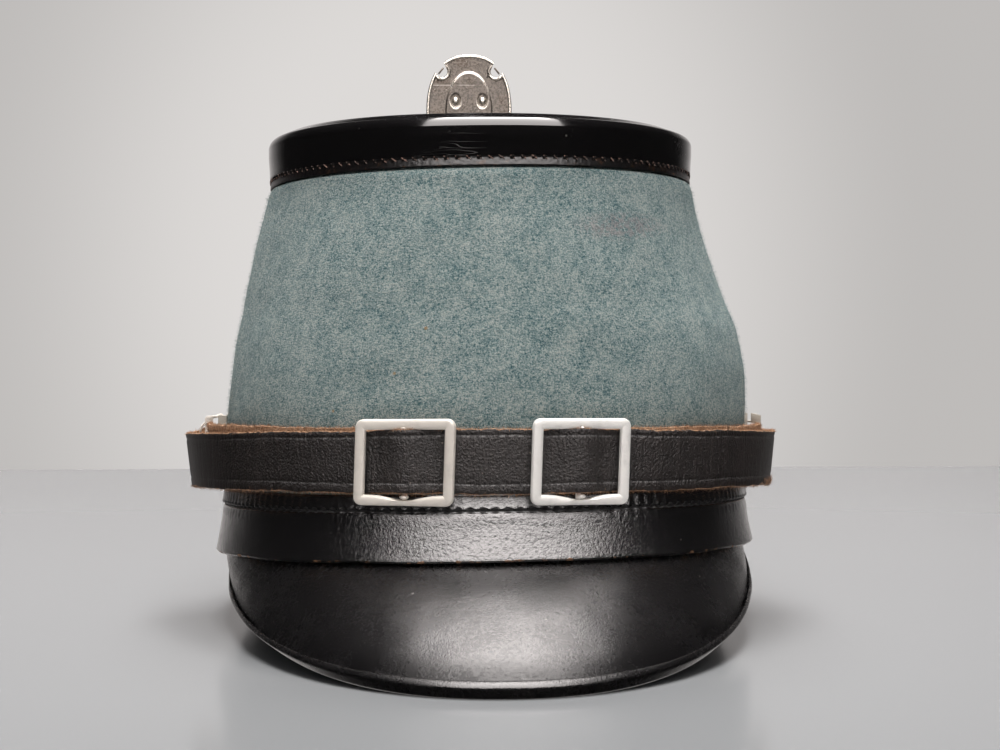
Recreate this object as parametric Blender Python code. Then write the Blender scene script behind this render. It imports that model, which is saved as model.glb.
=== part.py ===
"""Shako hat: felt crown, lacquered lid, leather band and peaks, buckled chin strap, badge plate."""

import math

import bmesh
import bpy
import numpy as np
from mathutils import Vector

MM = 0.001

# ---- driving sizes, in millimetres ------------------------------------------------------------
# The hat faces -Y with its near peak. Heights are read at the hat's sides, on the plane y = 0 of
# the hat's own middle; a lean raises a section's near side and a side lean its right side.
BED_SHIFT = (1.22, 8.35, 0.0)    # puts the middle of the whole outline over the origin
ROUND_STEPS = 54           # corners in each oval section
OVAL_POWER = 2.12          # a little squarer than an ellipse
GAP = 0.3                  # clearance between neighbouring pieces
SIDE_LEAN = 0.9            # the foot of the hat stands a little higher on its right side

FELT_WALL = 2.5
# Felt crown sections, from under the lid down to the foot
CROWN_SECTIONS = (
    # height, left, right, near, far, lean, side lean
    (158.5, 69.3, 66.6, 79.4, 79.4, 2.2, 0.4),
    (145.0, 70.4, 67.6, 80.5, 80.5, 3.7, 0.7),
    (144.5, 72.8, 70.0, 83.0, 82.8, 3.7, 0.7),
    (140.6, 73.9, 71.0, 84.2, 83.9, 3.7, 0.7),
    (134.0, 75.6, 72.2, 86.2, 86.0, 3.7, 0.7),
    (126.4, 77.5, 74.1, 88.7, 88.4, 3.7, 0.7),
    (118.0, 79.2, 76.8, 91.3, 90.8, 3.8, 0.8),
    (110.9, 80.7, 79.2, 93.3, 92.6, 3.8, 0.8),
    (103.0, 82.2, 82.2, 95.3, 94.6, 3.9, 0.8),
    (95.3, 84.0, 85.4, 97.3, 96.4, 4.0, 0.8),
    (87.0, 85.5, 87.3, 99.3, 98.3, 4.1, 0.9),
    (79.8, 86.6, 88.4, 100.8, 99.8, 4.2, 0.9),
    (69.4, 87.7, 88.7, 102.7, 101.6, 4.3, 0.9),
    (58.0, 88.0, 88.2, 104.2, 103.0, 4.4, 0.9),
    (40.0, 87.3, 87.2, 104.8, 103.6, 4.4, 0.9),
    (24.5, 87.6, 87.3, 105.0, 103.8, 4.4, 0.9),
)

LID_OUTLINE = (73.5, 70.6, 83.6, 83.6)     # left, right, near, far half-sizes at the rim
LID_TOP = 163.1
# Lid profile from the flat disc over the rim and down the skirt
LID_PROFILE = (
    # inset, drop, lean, side lean
    (8.00, 0.00, 3.00, 0.00),
    (4.00, 0.08, 3.00, 0.00),
    (2.50, 0.60, 3.00, 0.00),
    (1.25, 1.52, 3.00, 0.05),
    (0.45, 2.75, 3.05, 0.10),
    (0.05, 4.20, 3.10, 0.20),
    (0.00, 7.40, 3.20, 0.30),
    (0.25, 11.6, 3.40, 0.50),
    (0.35, 14.3, 3.55, 0.60),
    (0.75, 15.1, 3.60, 0.65),
    (0.65, 16.1, 3.65, 0.70),
    (0.45, 17.3, 3.70, 0.70),
    (0.85, 17.9, 3.70, 0.70),
)
# Inside of the lid: under the disc, round the corner and down the skirt
LID_INSIDE = (
    (13.0, 1.80, 3.00, 0.00),
    (7.00, 1.90, 3.00, 0.00),
    (3.90, 2.90, 3.05, 0.10),
    (2.40, 5.00, 3.15, 0.20),
    (2.00, 7.40, 3.20, 0.30),
    (2.20, 13.9, 3.55, 0.60),
    (2.25, 17.9, 3.70, 0.70),
)

BAND_WALL = 0.9
BAND_TOP = 42.9
BAND_INSIDE_ROWS = (0, 5, 8, 11)     # rows of the profile that its plain inside follows
# Base band profile from the lip down: lip, seam groove, flared face
BAND_PROFILE = (
    # drop, swell, lean, side lean
    (0.00, 0.40, 4.1, 0.6),
    (0.50, 0.85, 4.1, 0.6),
    (2.20, 1.20, 4.1, 0.6),
    (2.90, 0.80, 4.1, 0.6),
    (3.30, 0.30, 4.1, 0.6),
    (4.20, 0.30, 4.1, 0.6),
    (5.20, 0.85, 4.1, 0.6),
    (9.50, 1.45, 4.2, 0.7),
    (13.6, 2.05, 4.3, 0.8),
    (17.6, 2.75, 4.4, 0.9),
    (18.8, 3.00, 4.4, 0.9),
    (19.4, 2.60, 4.4, 0.9),
)

# Peaks: the edge follows a half oval and rises towards the sides
PEAK_SHEET = 2.4
PEAK_ROWS = 6
PEAK_MARGIN = 5.6          # flat stitched margin under the band
BINDING_HALF = 2.5
BINDING_DEPTH = 4.4
BINDING_LIP = 1.3
BINDING_EASE = 0.3         # the fold opens this much wider at its mouth
BINDING_FROM = 12.0        # the binding starts where the peak is this deep
# Outer line of the fold from its mouth round to the tip: outward, up as a share of the half
BINDING_FOLD = ((-1.8, 1.0), (0.2, 0.84), (BINDING_LIP, 0.38), (BINDING_LIP + 0.25, 0.0))
BINDING_MOUTH = 0.45       # thickness of the leather at the mouth
EDGE_DROP = 0.35           # the edge stays at least this far under the band
SWELL_OUT = 0.45           # share of the swell that also pushes the peak outwards
PEAKS = {
    # side, sideways, half width, reach, edge height, side rise, rise power, fullness, swell,
    # end turn, stations
    "near": (-1.0, 1.3, 86.3, 154.3, 1.8, 19.5, 1.55, 2.10, 3.2, 87.0, 36),
    "far": (1.0, 0.0, 83.5, 137.6, 2.0, 15.5, 1.80, 2.0, 1.6, 85.0, 28),
}

# Chin strap, laid parallel to the band
STRAP_THICK = 1.8
STRAP_HALF = 10.2          # half height at the near middle
STRAP_END_HALF = 8.9       # half height at the side rings
STRAP_LEVEL = 52.8         # height of its middle line at the sides
STRAP_LEANS = (4.4, 0.1)   # towards the far side and sideways
STRAP_RETURN_RISE = 2.2    # how far the returning layer stands above the outer one at the sides
RETURN_LEVEL_TURN = 30.0   # nearer the middle than this turn, both layers are level
STRAP_INNER = (93.5, 106.8)     # half width and near half length of the layer against the felt
STRAP_OUTER_LONG = 109.1        # near half length of the outer layer
LOOP_RADII = {-1.0: 3.5, 1.0: 2.3}      # left and right loops
RING_PIN_Y = 4.0                # where the side rings stand along the hat
LOOP_SPLAY = 0.5                # the loops stand out more at their upper edge
SPLAY_FROM = 80.0               # sideways distance where that begins
LOOP_STEPS = 9
BUCKLE_TURNS = tuple(np.linspace(0.0, 30.0, 22))
OUTER_TURNS = BUCKLE_TURNS + tuple(np.linspace(34.0, 86.0, 12))
INNER_TURNS = tuple(np.linspace(86.0, 12.5, 18))

BUCKLE_X = (-26.0, 25.2)
BUCKLE_WIDE = 27.8         # between the middles of the side rails
BUCKLE_TALL = 23.4
BUCKLE_RAIL = 1.6          # half width of the rail
BUCKLE_FLATNESS = 0.68     # rail depth against its width
BUCKLE_CORNER = 2.2
CORNER_STEPS = 4           # straights in each rounded corner of a buckle or ring
BUCKLE_OUT = 2.35          # middle of the frame, out from the strap's outer layer
BUCKLE_RISE = 0.35         # middle of the frame, up from the strap's middle line
BAR_RADIUS = 0.75
BAR_BITE = 0.9             # how much longer the bar is than the space between the rails' middles
BAR_BACK = 1.5             # how far the bar stands behind the middle of the frame
BAR_LIFT = 3.3             # how far the strap rises over the centre bar
BAR_SPREAD = 5.6           # half length of that rise along the strap

RING_WIRE = 0.65
RING_INNER_X = 90.5
RING_CORNER = 1.5
RING_OUTER_SPAN = (-8.0, 12.9)     # ends of the outer leg, from the strap's middle line
RING_INNER_SPAN = (-8.2, 17.1)     # ends of the leg beside the felt
PLATE_SHEET = 0.6
PLATE_DEEP = 8.0
PLATE_SPAN = (-6.0, 15.2)         # lower and upper end, from the strap's middle line

BADGE_X = -3.4
BADGE_Y = 84.8
BADGE_HALF_WIDE = 16.3
BADGE_HALF_TALL = 22.6
BADGE_MIDDLE = 176.6
BADGE_FULLNESS = 2.4
BADGE_STEPS = 72
BADGE_SHEET = 0.9
BADGE_NOTCH = (10.3, 16.1)      # middle of each notch from the plate's middle, across and up
# Raised arch: half width, height, foot above the plate's middle
BADGE_ARCH = (8.6, 13.7, 1.4)
BADGE_ARCH_SECTION = ((0.9, -0.2), (0.45, 0.45), (-0.45, 0.45), (-0.9, -0.2))    # outward, proud
BADGE_ARCH_STEPS = 16
NOTCH_STEPS = 9
NOTCH_RADIUS = 2.5
TAB_HALVES = (1.5, 0.9, 0.3)    # half length along the outline, half depth, half thickness
RIVET_RADIUS = 1.8
RIVET_STEPS = 12
# Rivet dome from its seat outwards
RIVET_DOME = (
    # out, share of radius
    (0.0, 0.85),
    (0.0, 1.0),
    (-0.5, 0.92),
    (-0.9, 0.62),
    (-1.1, 0.25),
)
RIVET_SPREAD = 5.1
RIVET_LEVEL = 181.7
POST_HALF_WIDE = 4.0
POST_SHEET = 1.0
POST_SPAN = (140.0, 172.0)

COLOURS = {
    # red, green, blue, metallic, roughness
    "felt": (0.20, 0.29, 0.28, 0.0, 0.95),
    "lacquer": (0.012, 0.012, 0.013, 0.0, 0.18),
    "band_leather": (0.018, 0.017, 0.017, 0.0, 0.38),
    "strap_leather": (0.040, 0.030, 0.025, 0.0, 0.55),
    "pale_metal": (0.78, 0.78, 0.74, 0.6, 0.40),
    "plate_metal": (0.55, 0.53, 0.50, 1.0, 0.35),
}


# ---- scene and materials ------------------------------------------------------------------------
def clear_scene():
    for item in list(bpy.data.objects):
        bpy.data.objects.remove(item, do_unlink=True)


def make_collection(name):
    group = bpy.data.collections.new(name)
    bpy.context.scene.collection.children.link(group)
    return group


def make_material(name, look):
    red, green, blue, metallic, roughness = COLOURS[look]
    material = bpy.data.materials.new(name + "_" + look)
    material.use_nodes = True
    shader = material.node_tree.nodes["Principled BSDF"]
    shader.inputs["Base Color"].default_value = (red, green, blue, 1.0)
    shader.inputs["Metallic"].default_value = metallic
    shader.inputs["Roughness"].default_value = roughness
    material.diffuse_color = (red, green, blue, 1.0)
    return material


def add_object(name, points, faces, look, group, smooth_angle=40.0):
    """Make a closed mesh object from points in millimetres."""
    mesh = bpy.data.meshes.new(name)
    placed = [tuple((np.asarray(p, float) + BED_SHIFT) * MM) for p in points]
    mesh.from_pydata(placed, [], faces)
    work = bmesh.new()
    work.from_mesh(mesh)
    bmesh.ops.recalc_face_normals(work, faces=work.faces)
    work.to_mesh(mesh)
    work.free()
    mesh.shade_smooth()
    mesh.set_sharp_from_angle(angle=math.radians(smooth_angle))
    item = bpy.data.objects.new(name, mesh)
    item.data.materials.append(make_material(name, look))
    group.objects.link(item)
    return item


# ---- shape helpers ------------------------------------------------------------------------------
def rise(x, y, lean, side_lean=SIDE_LEAN):
    """Height gained at a point of a section with these leans."""
    return x * math.tan(math.radians(side_lean)) - y * math.tan(math.radians(lean))


def oval_point(turn, fullness):
    """Point of a unit oval at this turn; a fullness of 2 is an ellipse and more is squarer."""
    across = math.copysign(abs(math.cos(turn)) ** (2.0 / fullness), math.cos(turn))
    along = math.copysign(abs(math.sin(turn)) ** (2.0 / fullness), math.sin(turn))
    return across, along


def oval_ring(height, left, right, near, far, lean, side_lean, inset=0.0):
    """One closed section: an oval with four half-sizes, leaning about the hat's side-to-side line."""
    ring = []
    for step in range(ROUND_STEPS):
        across, along = oval_point(2.0 * math.pi * step / ROUND_STEPS, OVAL_POWER)
        x = across * ((right if across > 0.0 else left) - inset)
        y = along * ((far if along > 0.0 else near) - inset)
        ring.append((x, y, height + rise(x, y, lean, side_lean)))
    return ring


def loft(name, rings, look, group, closed=False, smooth_angle=40.0):
    """Skin a row of equal rings; closed joins the last to the first, else both ends are capped."""
    count = len(rings[0])
    points = [p for ring in rings for p in ring]
    faces = []
    last = len(rings) if closed else len(rings) - 1
    for row in range(last):
        below = row * count
        above = ((row + 1) % len(rings)) * count
        for step in range(count):
            after = (step + 1) % count
            faces.append((below + step, below + after, above + after, above + step))
    if not closed:
        faces.append(tuple(range(count))[::-1])
        faces.append(tuple(range((len(rings) - 1) * count, len(rings) * count)))
    return add_object(name, points, faces, look, group, smooth_angle)


def table_value(table, column, key):
    """Read a table by its first column, with straight lines between the rows."""
    keys = [row[0] for row in table]
    values = [row[column] for row in table]
    if keys[0] > keys[-1]:
        keys.reverse()
        values.reverse()
    return float(np.interp(key, keys, values))


def crown_outline(height):
    return tuple(table_value(CROWN_SECTIONS, column, height) for column in range(1, 5))


# ---- felt crown, lid and band -------------------------------------------------------------------
def build_crown_body(group):
    outer = [oval_ring(*row) for row in reversed(CROWN_SECTIONS)]
    inside_rows = CROWN_SECTIONS[:1] + CROWN_SECTIONS[3::3]
    inner = [oval_ring(*row, inset=FELT_WALL) for row in inside_rows]
    return loft("crown_body", outer + inner, "felt", group, closed=True)


def build_crown_top(group):
    rings = []
    for inset, drop, lean, side_lean in LID_PROFILE + LID_INSIDE[::-1]:
        rings.append(oval_ring(LID_TOP - drop, *LID_OUTLINE, lean, side_lean, inset))
    return loft("crown_top", rings, "lacquer", group)


def build_base_band(group):
    outer = []
    inner = []
    for drop, swell, lean, side_lean in BAND_PROFILE:
        height = BAND_TOP - drop
        outline = crown_outline(height)
        outer.append(oval_ring(height, *outline, lean, side_lean, -(GAP + BAND_WALL + swell)))
        inner.append(oval_ring(height, *outline, lean, side_lean, -GAP))
    inner = [inner[row] for row in BAND_INSIDE_ROWS]
    return loft("base_band", outer + inner[::-1], "band_leather", group, closed=True)


# ---- peaks --------------------------------------------------------------------------------------
def peak_edge(peak, turn):
    """Middle of the peak's edge at this turn from the tip."""
    side, sideways, half_wide, reach, edge_height, side_rise, power, fullness = PEAKS[peak][:8]
    along, across = oval_point(turn, fullness)
    x = sideways + half_wide * across
    y = side * reach * along
    lifted = (1.0 - math.cos(turn)) ** power
    z = edge_height + side_rise * lifted + rise(x, 0.0, 0.0) * lifted
    return np.array((x, y, z))


def band_foot(side, turn, inset):
    """Point on the underside of the band at this turn from the tip."""
    drop, _, lean, side_lean = BAND_PROFILE[-1]
    height = BAND_TOP - drop
    left, right, near, far = crown_outline(height)
    half_wide = (right if turn > 0.0 else left) - inset
    half_long = (near if side < 0.0 else far) - inset
    along, across = oval_point(turn, OVAL_POWER)
    x = half_wide * across
    y = side * half_long * along
    return np.array((x, y, height + rise(x, y, lean, side_lean) - GAP - PEAK_SHEET / 2.0))


def peak_turns(peak):
    """Turns from the tip that space the stations evenly along the edge."""
    end_turn, stations = PEAKS[peak][9:]
    turns = np.radians(np.linspace(-end_turn, end_turn, 241))
    edges = np.array([peak_edge(peak, turn) for turn in turns])
    travel = np.concatenate(([0.0], np.cumsum(np.linalg.norm(np.diff(edges, axis=0), axis=1))))
    return np.interp(np.linspace(0.0, travel[-1], stations + 1), travel, turns)


def unit(vector):
    return vector / np.linalg.norm(vector)


def peak_stations(peak):
    """Stations along a peak: its middle surface from the margin to the edge, and the edge's frame."""
    side = PEAKS[peak][0]
    swell = PEAKS[peak][8]
    columns = []
    for turn in peak_turns(peak):
        inner = band_foot(side, turn, FELT_WALL)
        margin = band_foot(side, turn, FELT_WALL - PEAK_MARGIN * math.sqrt(math.cos(turn)))
        edge = peak_edge(peak, turn)
        edge[2] = min(edge[2], margin[2] - EDGE_DROP)
        length = float(np.linalg.norm(edge - margin))
        straight = min(BINDING_DEPTH + 0.5, length * 0.5) / length
        column = [inner]
        for row in range(PEAK_ROWS - 1):
            part = (1.0 - straight) * row / (PEAK_ROWS - 2.0)
            lift = swell * math.sin(math.pi * min(part / (1.0 - straight * 0.5), 1.0)) * math.cos(turn)
            swelling = np.array((0.0, side * lift * SWELL_OUT, lift))
            column.append(margin + (edge - margin) * part + swelling)
        column.append(edge)
        columns.append((column, length))
    edges = np.array([column[-1] for column, _ in columns])
    runs = np.gradient(edges, axis=0)
    stations = []
    for (column, length), run in zip(columns, runs):
        out = unit(column[-1] - column[-2])
        up = unit(np.cross(run, out))
        outer_side = column[-1] * np.array((1.0, 1.0, 0.0)) + np.array((0.0, 0.0, PEAKS[peak][2]))
        up = -up if np.dot(up, outer_side) < 0.0 else up
        stations.append((column, length, out, up))
    return stations


def build_peak(peak, group):
    half = PEAK_SHEET / 2.0
    rings = []
    for column, _, _, up in peak_stations(peak):
        normals = [np.array((0.0, 0.0, 1.0)), unit(np.array((0.0, 0.0, 1.0)) + up)]
        normals += [up] * (len(column) - 2)
        upper = [p + n * half for p, n in zip(column, normals)]
        lower = [p - n * half for p, n in zip(column, normals)]
        rings.append([tuple(p) for p in upper + lower[::-1]])
    return loft(peak + "_peak", rings, "band_leather", group)


def build_binding(peak, group):
    """Leather folded over the peak's edge: a C-shaped section carried along it."""
    slot = PEAK_SHEET / 2.0 + GAP
    mouth = slot + BINDING_EASE
    outside = [(-BINDING_DEPTH, mouth + BINDING_MOUTH)]
    outside += [(out, share * BINDING_HALF) for out, share in BINDING_FOLD]
    section = outside + [(a, -b) for a, b in outside[-2::-1]]
    section += [(-BINDING_DEPTH, -mouth), (GAP, -slot), (GAP, slot), (-BINDING_DEPTH, mouth)]
    section.reverse()
    rings = []
    for column, length, out, up in peak_stations(peak):
        if length > BINDING_FROM:
            rings.append([tuple(column[-1] + out * a + up * b) for a, b in section])
    return loft(peak + "_peak_binding", rings, "band_leather", group)


# ---- chin strap ---------------------------------------------------------------------------------
def outer_half_wide(side):
    return STRAP_INNER[0] + 2.0 * LOOP_RADII[side]


def half_strap(side):
    """Plan points of one half: along the outer layer, round the ring, back along the inner layer.

    Each point carries how far the returning layer stands above the outer one there.
    """
    bar = BUCKLE_X[0] if side < 0.0 else BUCKLE_X[1]
    plan = []
    for turn in OUTER_TURNS:
        angle = math.radians(turn)
        x = side * outer_half_wide(side) * math.sin(angle)
        lift = BAR_LIFT * math.exp(-((x - bar) / BAR_SPREAD) ** 2)
        outward = np.array((math.sin(angle) * side, -math.cos(angle)))
        plan.append(np.array((x, -STRAP_OUTER_LONG * math.cos(angle))) + outward * lift)
    rises = [0.0] * len(plan)
    for part in np.linspace(0.0, 1.0, LOOP_STEPS):
        angle = math.pi * part
        x = STRAP_INNER[0] + LOOP_RADII[side] * (1.0 + math.cos(angle))
        plan.append(np.array((side * x, RING_PIN_Y + LOOP_RADII[side] * math.sin(angle))))
        rises.append(STRAP_RETURN_RISE * part)
    for turn in INNER_TURNS:
        angle = math.radians(turn)
        plan.append(np.array((side * STRAP_INNER[0] * math.sin(angle), -STRAP_INNER[1] * math.cos(angle))))
        climb = (turn - RETURN_LEVEL_TURN) / (INNER_TURNS[0] - RETURN_LEVEL_TURN)
        rises.append(STRAP_RETURN_RISE * max(0.0, climb))
    plan = np.array(plan)
    settled = 0.25 * plan[:-2] + 0.5 * plan[1:-1] + 0.25 * plan[2:]
    plan[len(BUCKLE_TURNS):-1] = settled[len(BUCKLE_TURNS) - 1:]
    return plan, rises


def build_strap(group):
    left, left_rises = half_strap(-1.0)
    right, right_rises = half_strap(1.0)
    points = np.vstack((left[:0:-1], right))
    lifts = left_rises[:0:-1] + right_rises
    rings = []
    for index, (x, y) in enumerate(points):
        before = points[max(index - 1, 0)]
        after = points[min(index + 1, len(points) - 1)]
        run = (after - before) / np.linalg.norm(after - before)
        outward = np.array((run[1], -run[0]))
        half = STRAP_HALF + (STRAP_END_HALF - STRAP_HALF) * min(1.0, abs(x) / STRAP_INNER[0])
        splay = LOOP_SPLAY * math.copysign(max(0.0, abs(x) - SPLAY_FROM) / 20.0, x)
        ring = []
        for out, up in ((1, 1), (-1, 1), (-1, -1), (1, -1)):
            px = x + outward[0] * out * STRAP_THICK / 2.0
            py = y + outward[1] * out * STRAP_THICK / 2.0
            pz = STRAP_LEVEL + rise(px, py, *STRAP_LEANS) + up * half + lifts[index]
            ring.append((px + splay * up, py, pz))
        rings.append(ring)
    return loft("chin_strap", rings, "strap_leather", group)


# ---- buckles, rings and side plates --------------------------------------------------------------
def buckle_frame(x):
    """Middle and turn of a buckle lying on the strap's outer layer."""
    wide = outer_half_wide(math.copysign(1.0, x))
    angle = math.asin(x / wide)
    y = -STRAP_OUTER_LONG * math.cos(angle)
    slope = math.atan2(STRAP_OUTER_LONG * math.sin(angle), wide * math.cos(angle))
    normal = np.array((math.sin(slope), -math.cos(slope), 0.0))
    middle = np.array((x, y, STRAP_LEVEL + rise(x, y, *STRAP_LEANS))) + normal * BUCKLE_OUT
    middle[2] += BUCKLE_RISE
    return middle, slope, normal


def curve_ring(name, corners, radius, rail, look, group):
    """Closed wire through rounded corners; corners are 3D points in millimetres."""
    curve = bpy.data.curves.new(name + "_path", "CURVE")
    curve.dimensions = "3D"
    curve.bevel_depth = rail * MM
    curve.bevel_resolution = 1
    spline = curve.splines.new("POLY")
    points = []
    count = len(corners)
    for index in range(count):
        here = np.array(corners[index], float)
        before = np.array(corners[index - 1], float)
        after = np.array(corners[(index + 1) % count], float)
        to_before = (before - here) / np.linalg.norm(before - here)
        to_after = (after - here) / np.linalg.norm(after - here)
        start = here + to_before * radius
        end = here + to_after * radius
        for step in range(CORNER_STEPS + 1):
            part = step / CORNER_STEPS
            bend = (1 - part) ** 2 * start + 2 * (1 - part) * part * here + part ** 2 * end
            points.append(bend)
    spline.points.add(len(points) - 1)
    for target, point in zip(spline.points, points):
        placed = (point + np.array(BED_SHIFT)) * MM
        target.co = (placed[0], placed[1], placed[2], 1.0)
    spline.use_cyclic_u = True
    path = bpy.data.objects.new(name + "_path", curve)
    group.objects.link(path)
    graph = bpy.context.evaluated_depsgraph_get()
    mesh = bpy.data.meshes.new_from_object(path.evaluated_get(graph))
    bpy.data.objects.remove(path, do_unlink=True)
    work = bmesh.new()
    work.from_mesh(mesh)
    bmesh.ops.remove_doubles(work, verts=work.verts, dist=1e-6)
    bmesh.ops.recalc_face_normals(work, faces=work.faces)
    work.to_mesh(mesh)
    work.free()
    mesh.shade_smooth()
    mesh.name = name
    item = bpy.data.objects.new(name, mesh)
    item.data.materials.clear()
    item.data.materials.append(make_material(name, look))
    group.objects.link(item)
    return item


def build_buckle(name, x, group, cutters):
    middle, slope, normal = buckle_frame(x)
    along = np.array((math.cos(slope), math.sin(slope), 0.0))
    up = np.array((0.0, 0.0, 1.0))
    half_wide = BUCKLE_WIDE / 2.0
    half_tall = BUCKLE_TALL / 2.0
    corners = []
    for a, b in ((-1, -1), (1, -1), (1, 1), (-1, 1)):
        corners.append(middle + along * a * half_wide + up * b * half_tall)
    frame = curve_ring(name, corners, BUCKLE_CORNER, BUCKLE_RAIL, "pale_metal", group)
    centre = (middle + np.array(BED_SHIFT)) * MM
    for vertex in frame.data.vertices:
        depth = float(np.dot(np.array(vertex.co) - centre, normal))
        vertex.co = vertex.co - Vector(normal * depth * (1.0 - BUCKLE_FLATNESS))
    bar_mesh = bpy.data.meshes.new(name + "_bar")
    work = bmesh.new()
    bmesh.ops.create_cone(work, cap_ends=True, segments=12, radius1=BAR_RADIUS * MM,
                          radius2=BAR_RADIUS * MM, depth=(BUCKLE_TALL + BAR_BITE) * MM)
    work.to_mesh(bar_mesh)
    work.free()
    bar = bpy.data.objects.new(name + "_bar", bar_mesh)
    bar.location = Vector(centre - normal * BAR_BACK * MM)
    bar.hide_render = True
    bar.display_type = "WIRE"
    cutters.objects.link(bar)
    join = frame.modifiers.new("centre bar", "BOOLEAN")
    join.operation = "UNION"
    join.solver = "EXACT"
    join.object = bar
    return frame


def build_side_ring(name, side, group):
    pin_x = STRAP_INNER[0] + LOOP_RADII[side]
    level = STRAP_LEVEL + rise(side * pin_x, RING_PIN_Y, *STRAP_LEANS)
    foot, head = RING_OUTER_SPAN
    corners = [(side * pin_x, RING_PIN_Y, level + foot), (side * pin_x, RING_PIN_Y, level + head)]
    foot, head = RING_INNER_SPAN
    inner_x = side * RING_INNER_X
    corners += [(inner_x, RING_PIN_Y, level + head), (inner_x, RING_PIN_Y, level + foot)]
    return curve_ring(name, corners, RING_CORNER, RING_WIRE, "pale_metal", group)


def build_side_plate(name, side, group):
    """Metal strip folded round the ring's inner leg, lying on the felt."""
    level = STRAP_LEVEL + rise(side * RING_INNER_X, RING_PIN_Y, *STRAP_LEANS)
    hollow = RING_WIRE + GAP
    back_x = RING_INNER_X - hollow
    front_x = RING_INNER_X + hollow
    fold_y = RING_PIN_Y - hollow
    outline = [
        (back_x - PLATE_SHEET, RING_PIN_Y + PLATE_DEEP),
        (back_x - PLATE_SHEET, fold_y - PLATE_SHEET),
        (front_x + PLATE_SHEET, fold_y - PLATE_SHEET),
        (front_x + PLATE_SHEET, RING_PIN_Y + PLATE_DEEP * 0.5),
        (front_x, RING_PIN_Y + PLATE_DEEP * 0.5),
        (front_x, fold_y),
        (back_x, fold_y),
        (back_x, RING_PIN_Y + PLATE_DEEP),
    ]
    rings = [[(side * x, y, level + z) for x, y in outline] for z in PLATE_SPAN]
    return loft(name, rings, "pale_metal", group, smooth_angle=30.0)


# ---- badge plate --------------------------------------------------------------------------------
def badge_outline():
    """Oval outline with two round notches near its top, as across and up offsets."""
    notches = [np.array(BADGE_NOTCH) * np.array((side, 1.0)) for side in (1.0, -1.0)]
    outline = []
    for step in range(BADGE_STEPS):
        across, up = oval_point(2.0 * math.pi * step / BADGE_STEPS, BADGE_FULLNESS)
        u = BADGE_HALF_WIDE * across
        v = BADGE_HALF_TALL * up
        inside = [n for n in notches if math.hypot(u - n[0], v - n[1]) < NOTCH_RADIUS]
        if not inside:
            outline.append(("edge", u, v))
        elif not outline or outline[-1][0] != "notch":
            outline.append(("notch", float(inside[0][0]), float(inside[0][1])))
    points = []
    for index, (word, u, v) in enumerate(outline):
        if word == "edge":
            points.append((u, v))
            continue
        before = outline[index - 1]
        after = outline[(index + 1) % len(outline)]
        first = math.atan2(before[2] - v, before[1] - u)
        last = math.atan2(after[2] - v, after[1] - u)
        sweep = (first - last) % (2.0 * math.pi)
        for part in np.linspace(0.12, 0.88, NOTCH_STEPS):
            angle = first - sweep * part
            points.append((u + NOTCH_RADIUS * math.cos(angle), v + NOTCH_RADIUS * math.sin(angle)))
    return points


def build_badge(group, cutters):
    """Oval sheet with two round notches and a raised arch, standing on the far side of the lid."""
    half = BADGE_SHEET / 2.0
    rings = []
    for offset in (half, -half):
        rings.append([(BADGE_X + u, BADGE_Y + offset, BADGE_MIDDLE + v) for u, v in badge_outline()])
    plate = loft("badge_plate", rings, "plate_metal", group, smooth_angle=30.0)
    arch = []
    half_wide, tall, foot = BADGE_ARCH
    for step in range(BADGE_ARCH_STEPS + 1):
        turn = math.pi * step / BADGE_ARCH_STEPS
        outward = np.array((math.cos(turn), 0.0, math.sin(turn)))
        up = foot + tall * math.sin(turn)
        middle = np.array((BADGE_X + half_wide * math.cos(turn), BADGE_Y - half, BADGE_MIDDLE + up))
        arch.append([tuple(middle + outward * a - np.array((0.0, b, 0.0))) for a, b in BADGE_ARCH_SECTION])
    rib = loft("badge_arch", arch, "plate_metal", cutters)
    rib.hide_render = True
    rib.display_type = "WIRE"
    join = plate.modifiers.new("raised arch", "BOOLEAN")
    join.operation = "UNION"
    join.solver = "EXACT"
    join.object = rib
    return plate


def build_rivet(name, x, z, group):
    rings = []
    front = BADGE_Y - BADGE_SHEET / 2.0 - GAP
    for out, part in RIVET_DOME:
        ring = []
        for step in range(RIVET_STEPS):
            turn = 2.0 * math.pi * step / RIVET_STEPS
            ring.append((x + RIVET_RADIUS * part * math.cos(turn), front + out,
                         z + RIVET_RADIUS * part * math.sin(turn)))
        rings.append(ring)
    return loft(name, rings, "plate_metal", group)


def build_slab(name, middle, along, up, halves, group):
    """Rectangular slab: halves along its length, along Y and across its thickness."""
    deep = np.array((0.0, 1.0, 0.0))
    rings = []
    for end in (-1.0, 1.0):
        ring = []
        for a, b in ((-1, -1), (1, -1), (1, 1), (-1, 1)):
            ring.append(tuple(middle + along * end * halves[0] + deep * a * halves[1] + up * b * halves[2]))
        rings.append(ring)
    return loft(name, rings, "plate_metal", group, smooth_angle=30.0)


def build_tab(name, side, group):
    """Folded tab standing across the mouth of one notch."""
    across = np.array((side * BADGE_NOTCH[0], 0.0, BADGE_NOTCH[1]))
    outward = unit(np.array((side * BADGE_NOTCH[0] / BADGE_HALF_WIDE ** 2, 0.0,
                             BADGE_NOTCH[1] / BADGE_HALF_TALL ** 2)))
    along = np.array((outward[2], 0.0, -outward[0]))
    middle = np.array((BADGE_X, BADGE_Y, BADGE_MIDDLE)) + across + outward * 0.5
    return build_slab(name, middle, along, outward, TAB_HALVES, group)


def build_post(group):
    """Flat post behind the plate, carrying it down the outside of the lid."""
    low, high = POST_SPAN
    back = BADGE_Y + BADGE_SHEET / 2.0 + GAP + POST_SHEET / 2.0
    middle = np.array((BADGE_X, back, (low + high) / 2.0))
    up = np.array((1.0, 0.0, 0.0))
    halves = ((high - low) / 2.0, POST_SHEET / 2.0, POST_HALF_WIDE)
    return build_slab("badge_post", middle, np.array((0.0, 0.0, 1.0)), up, halves, group)


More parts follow.
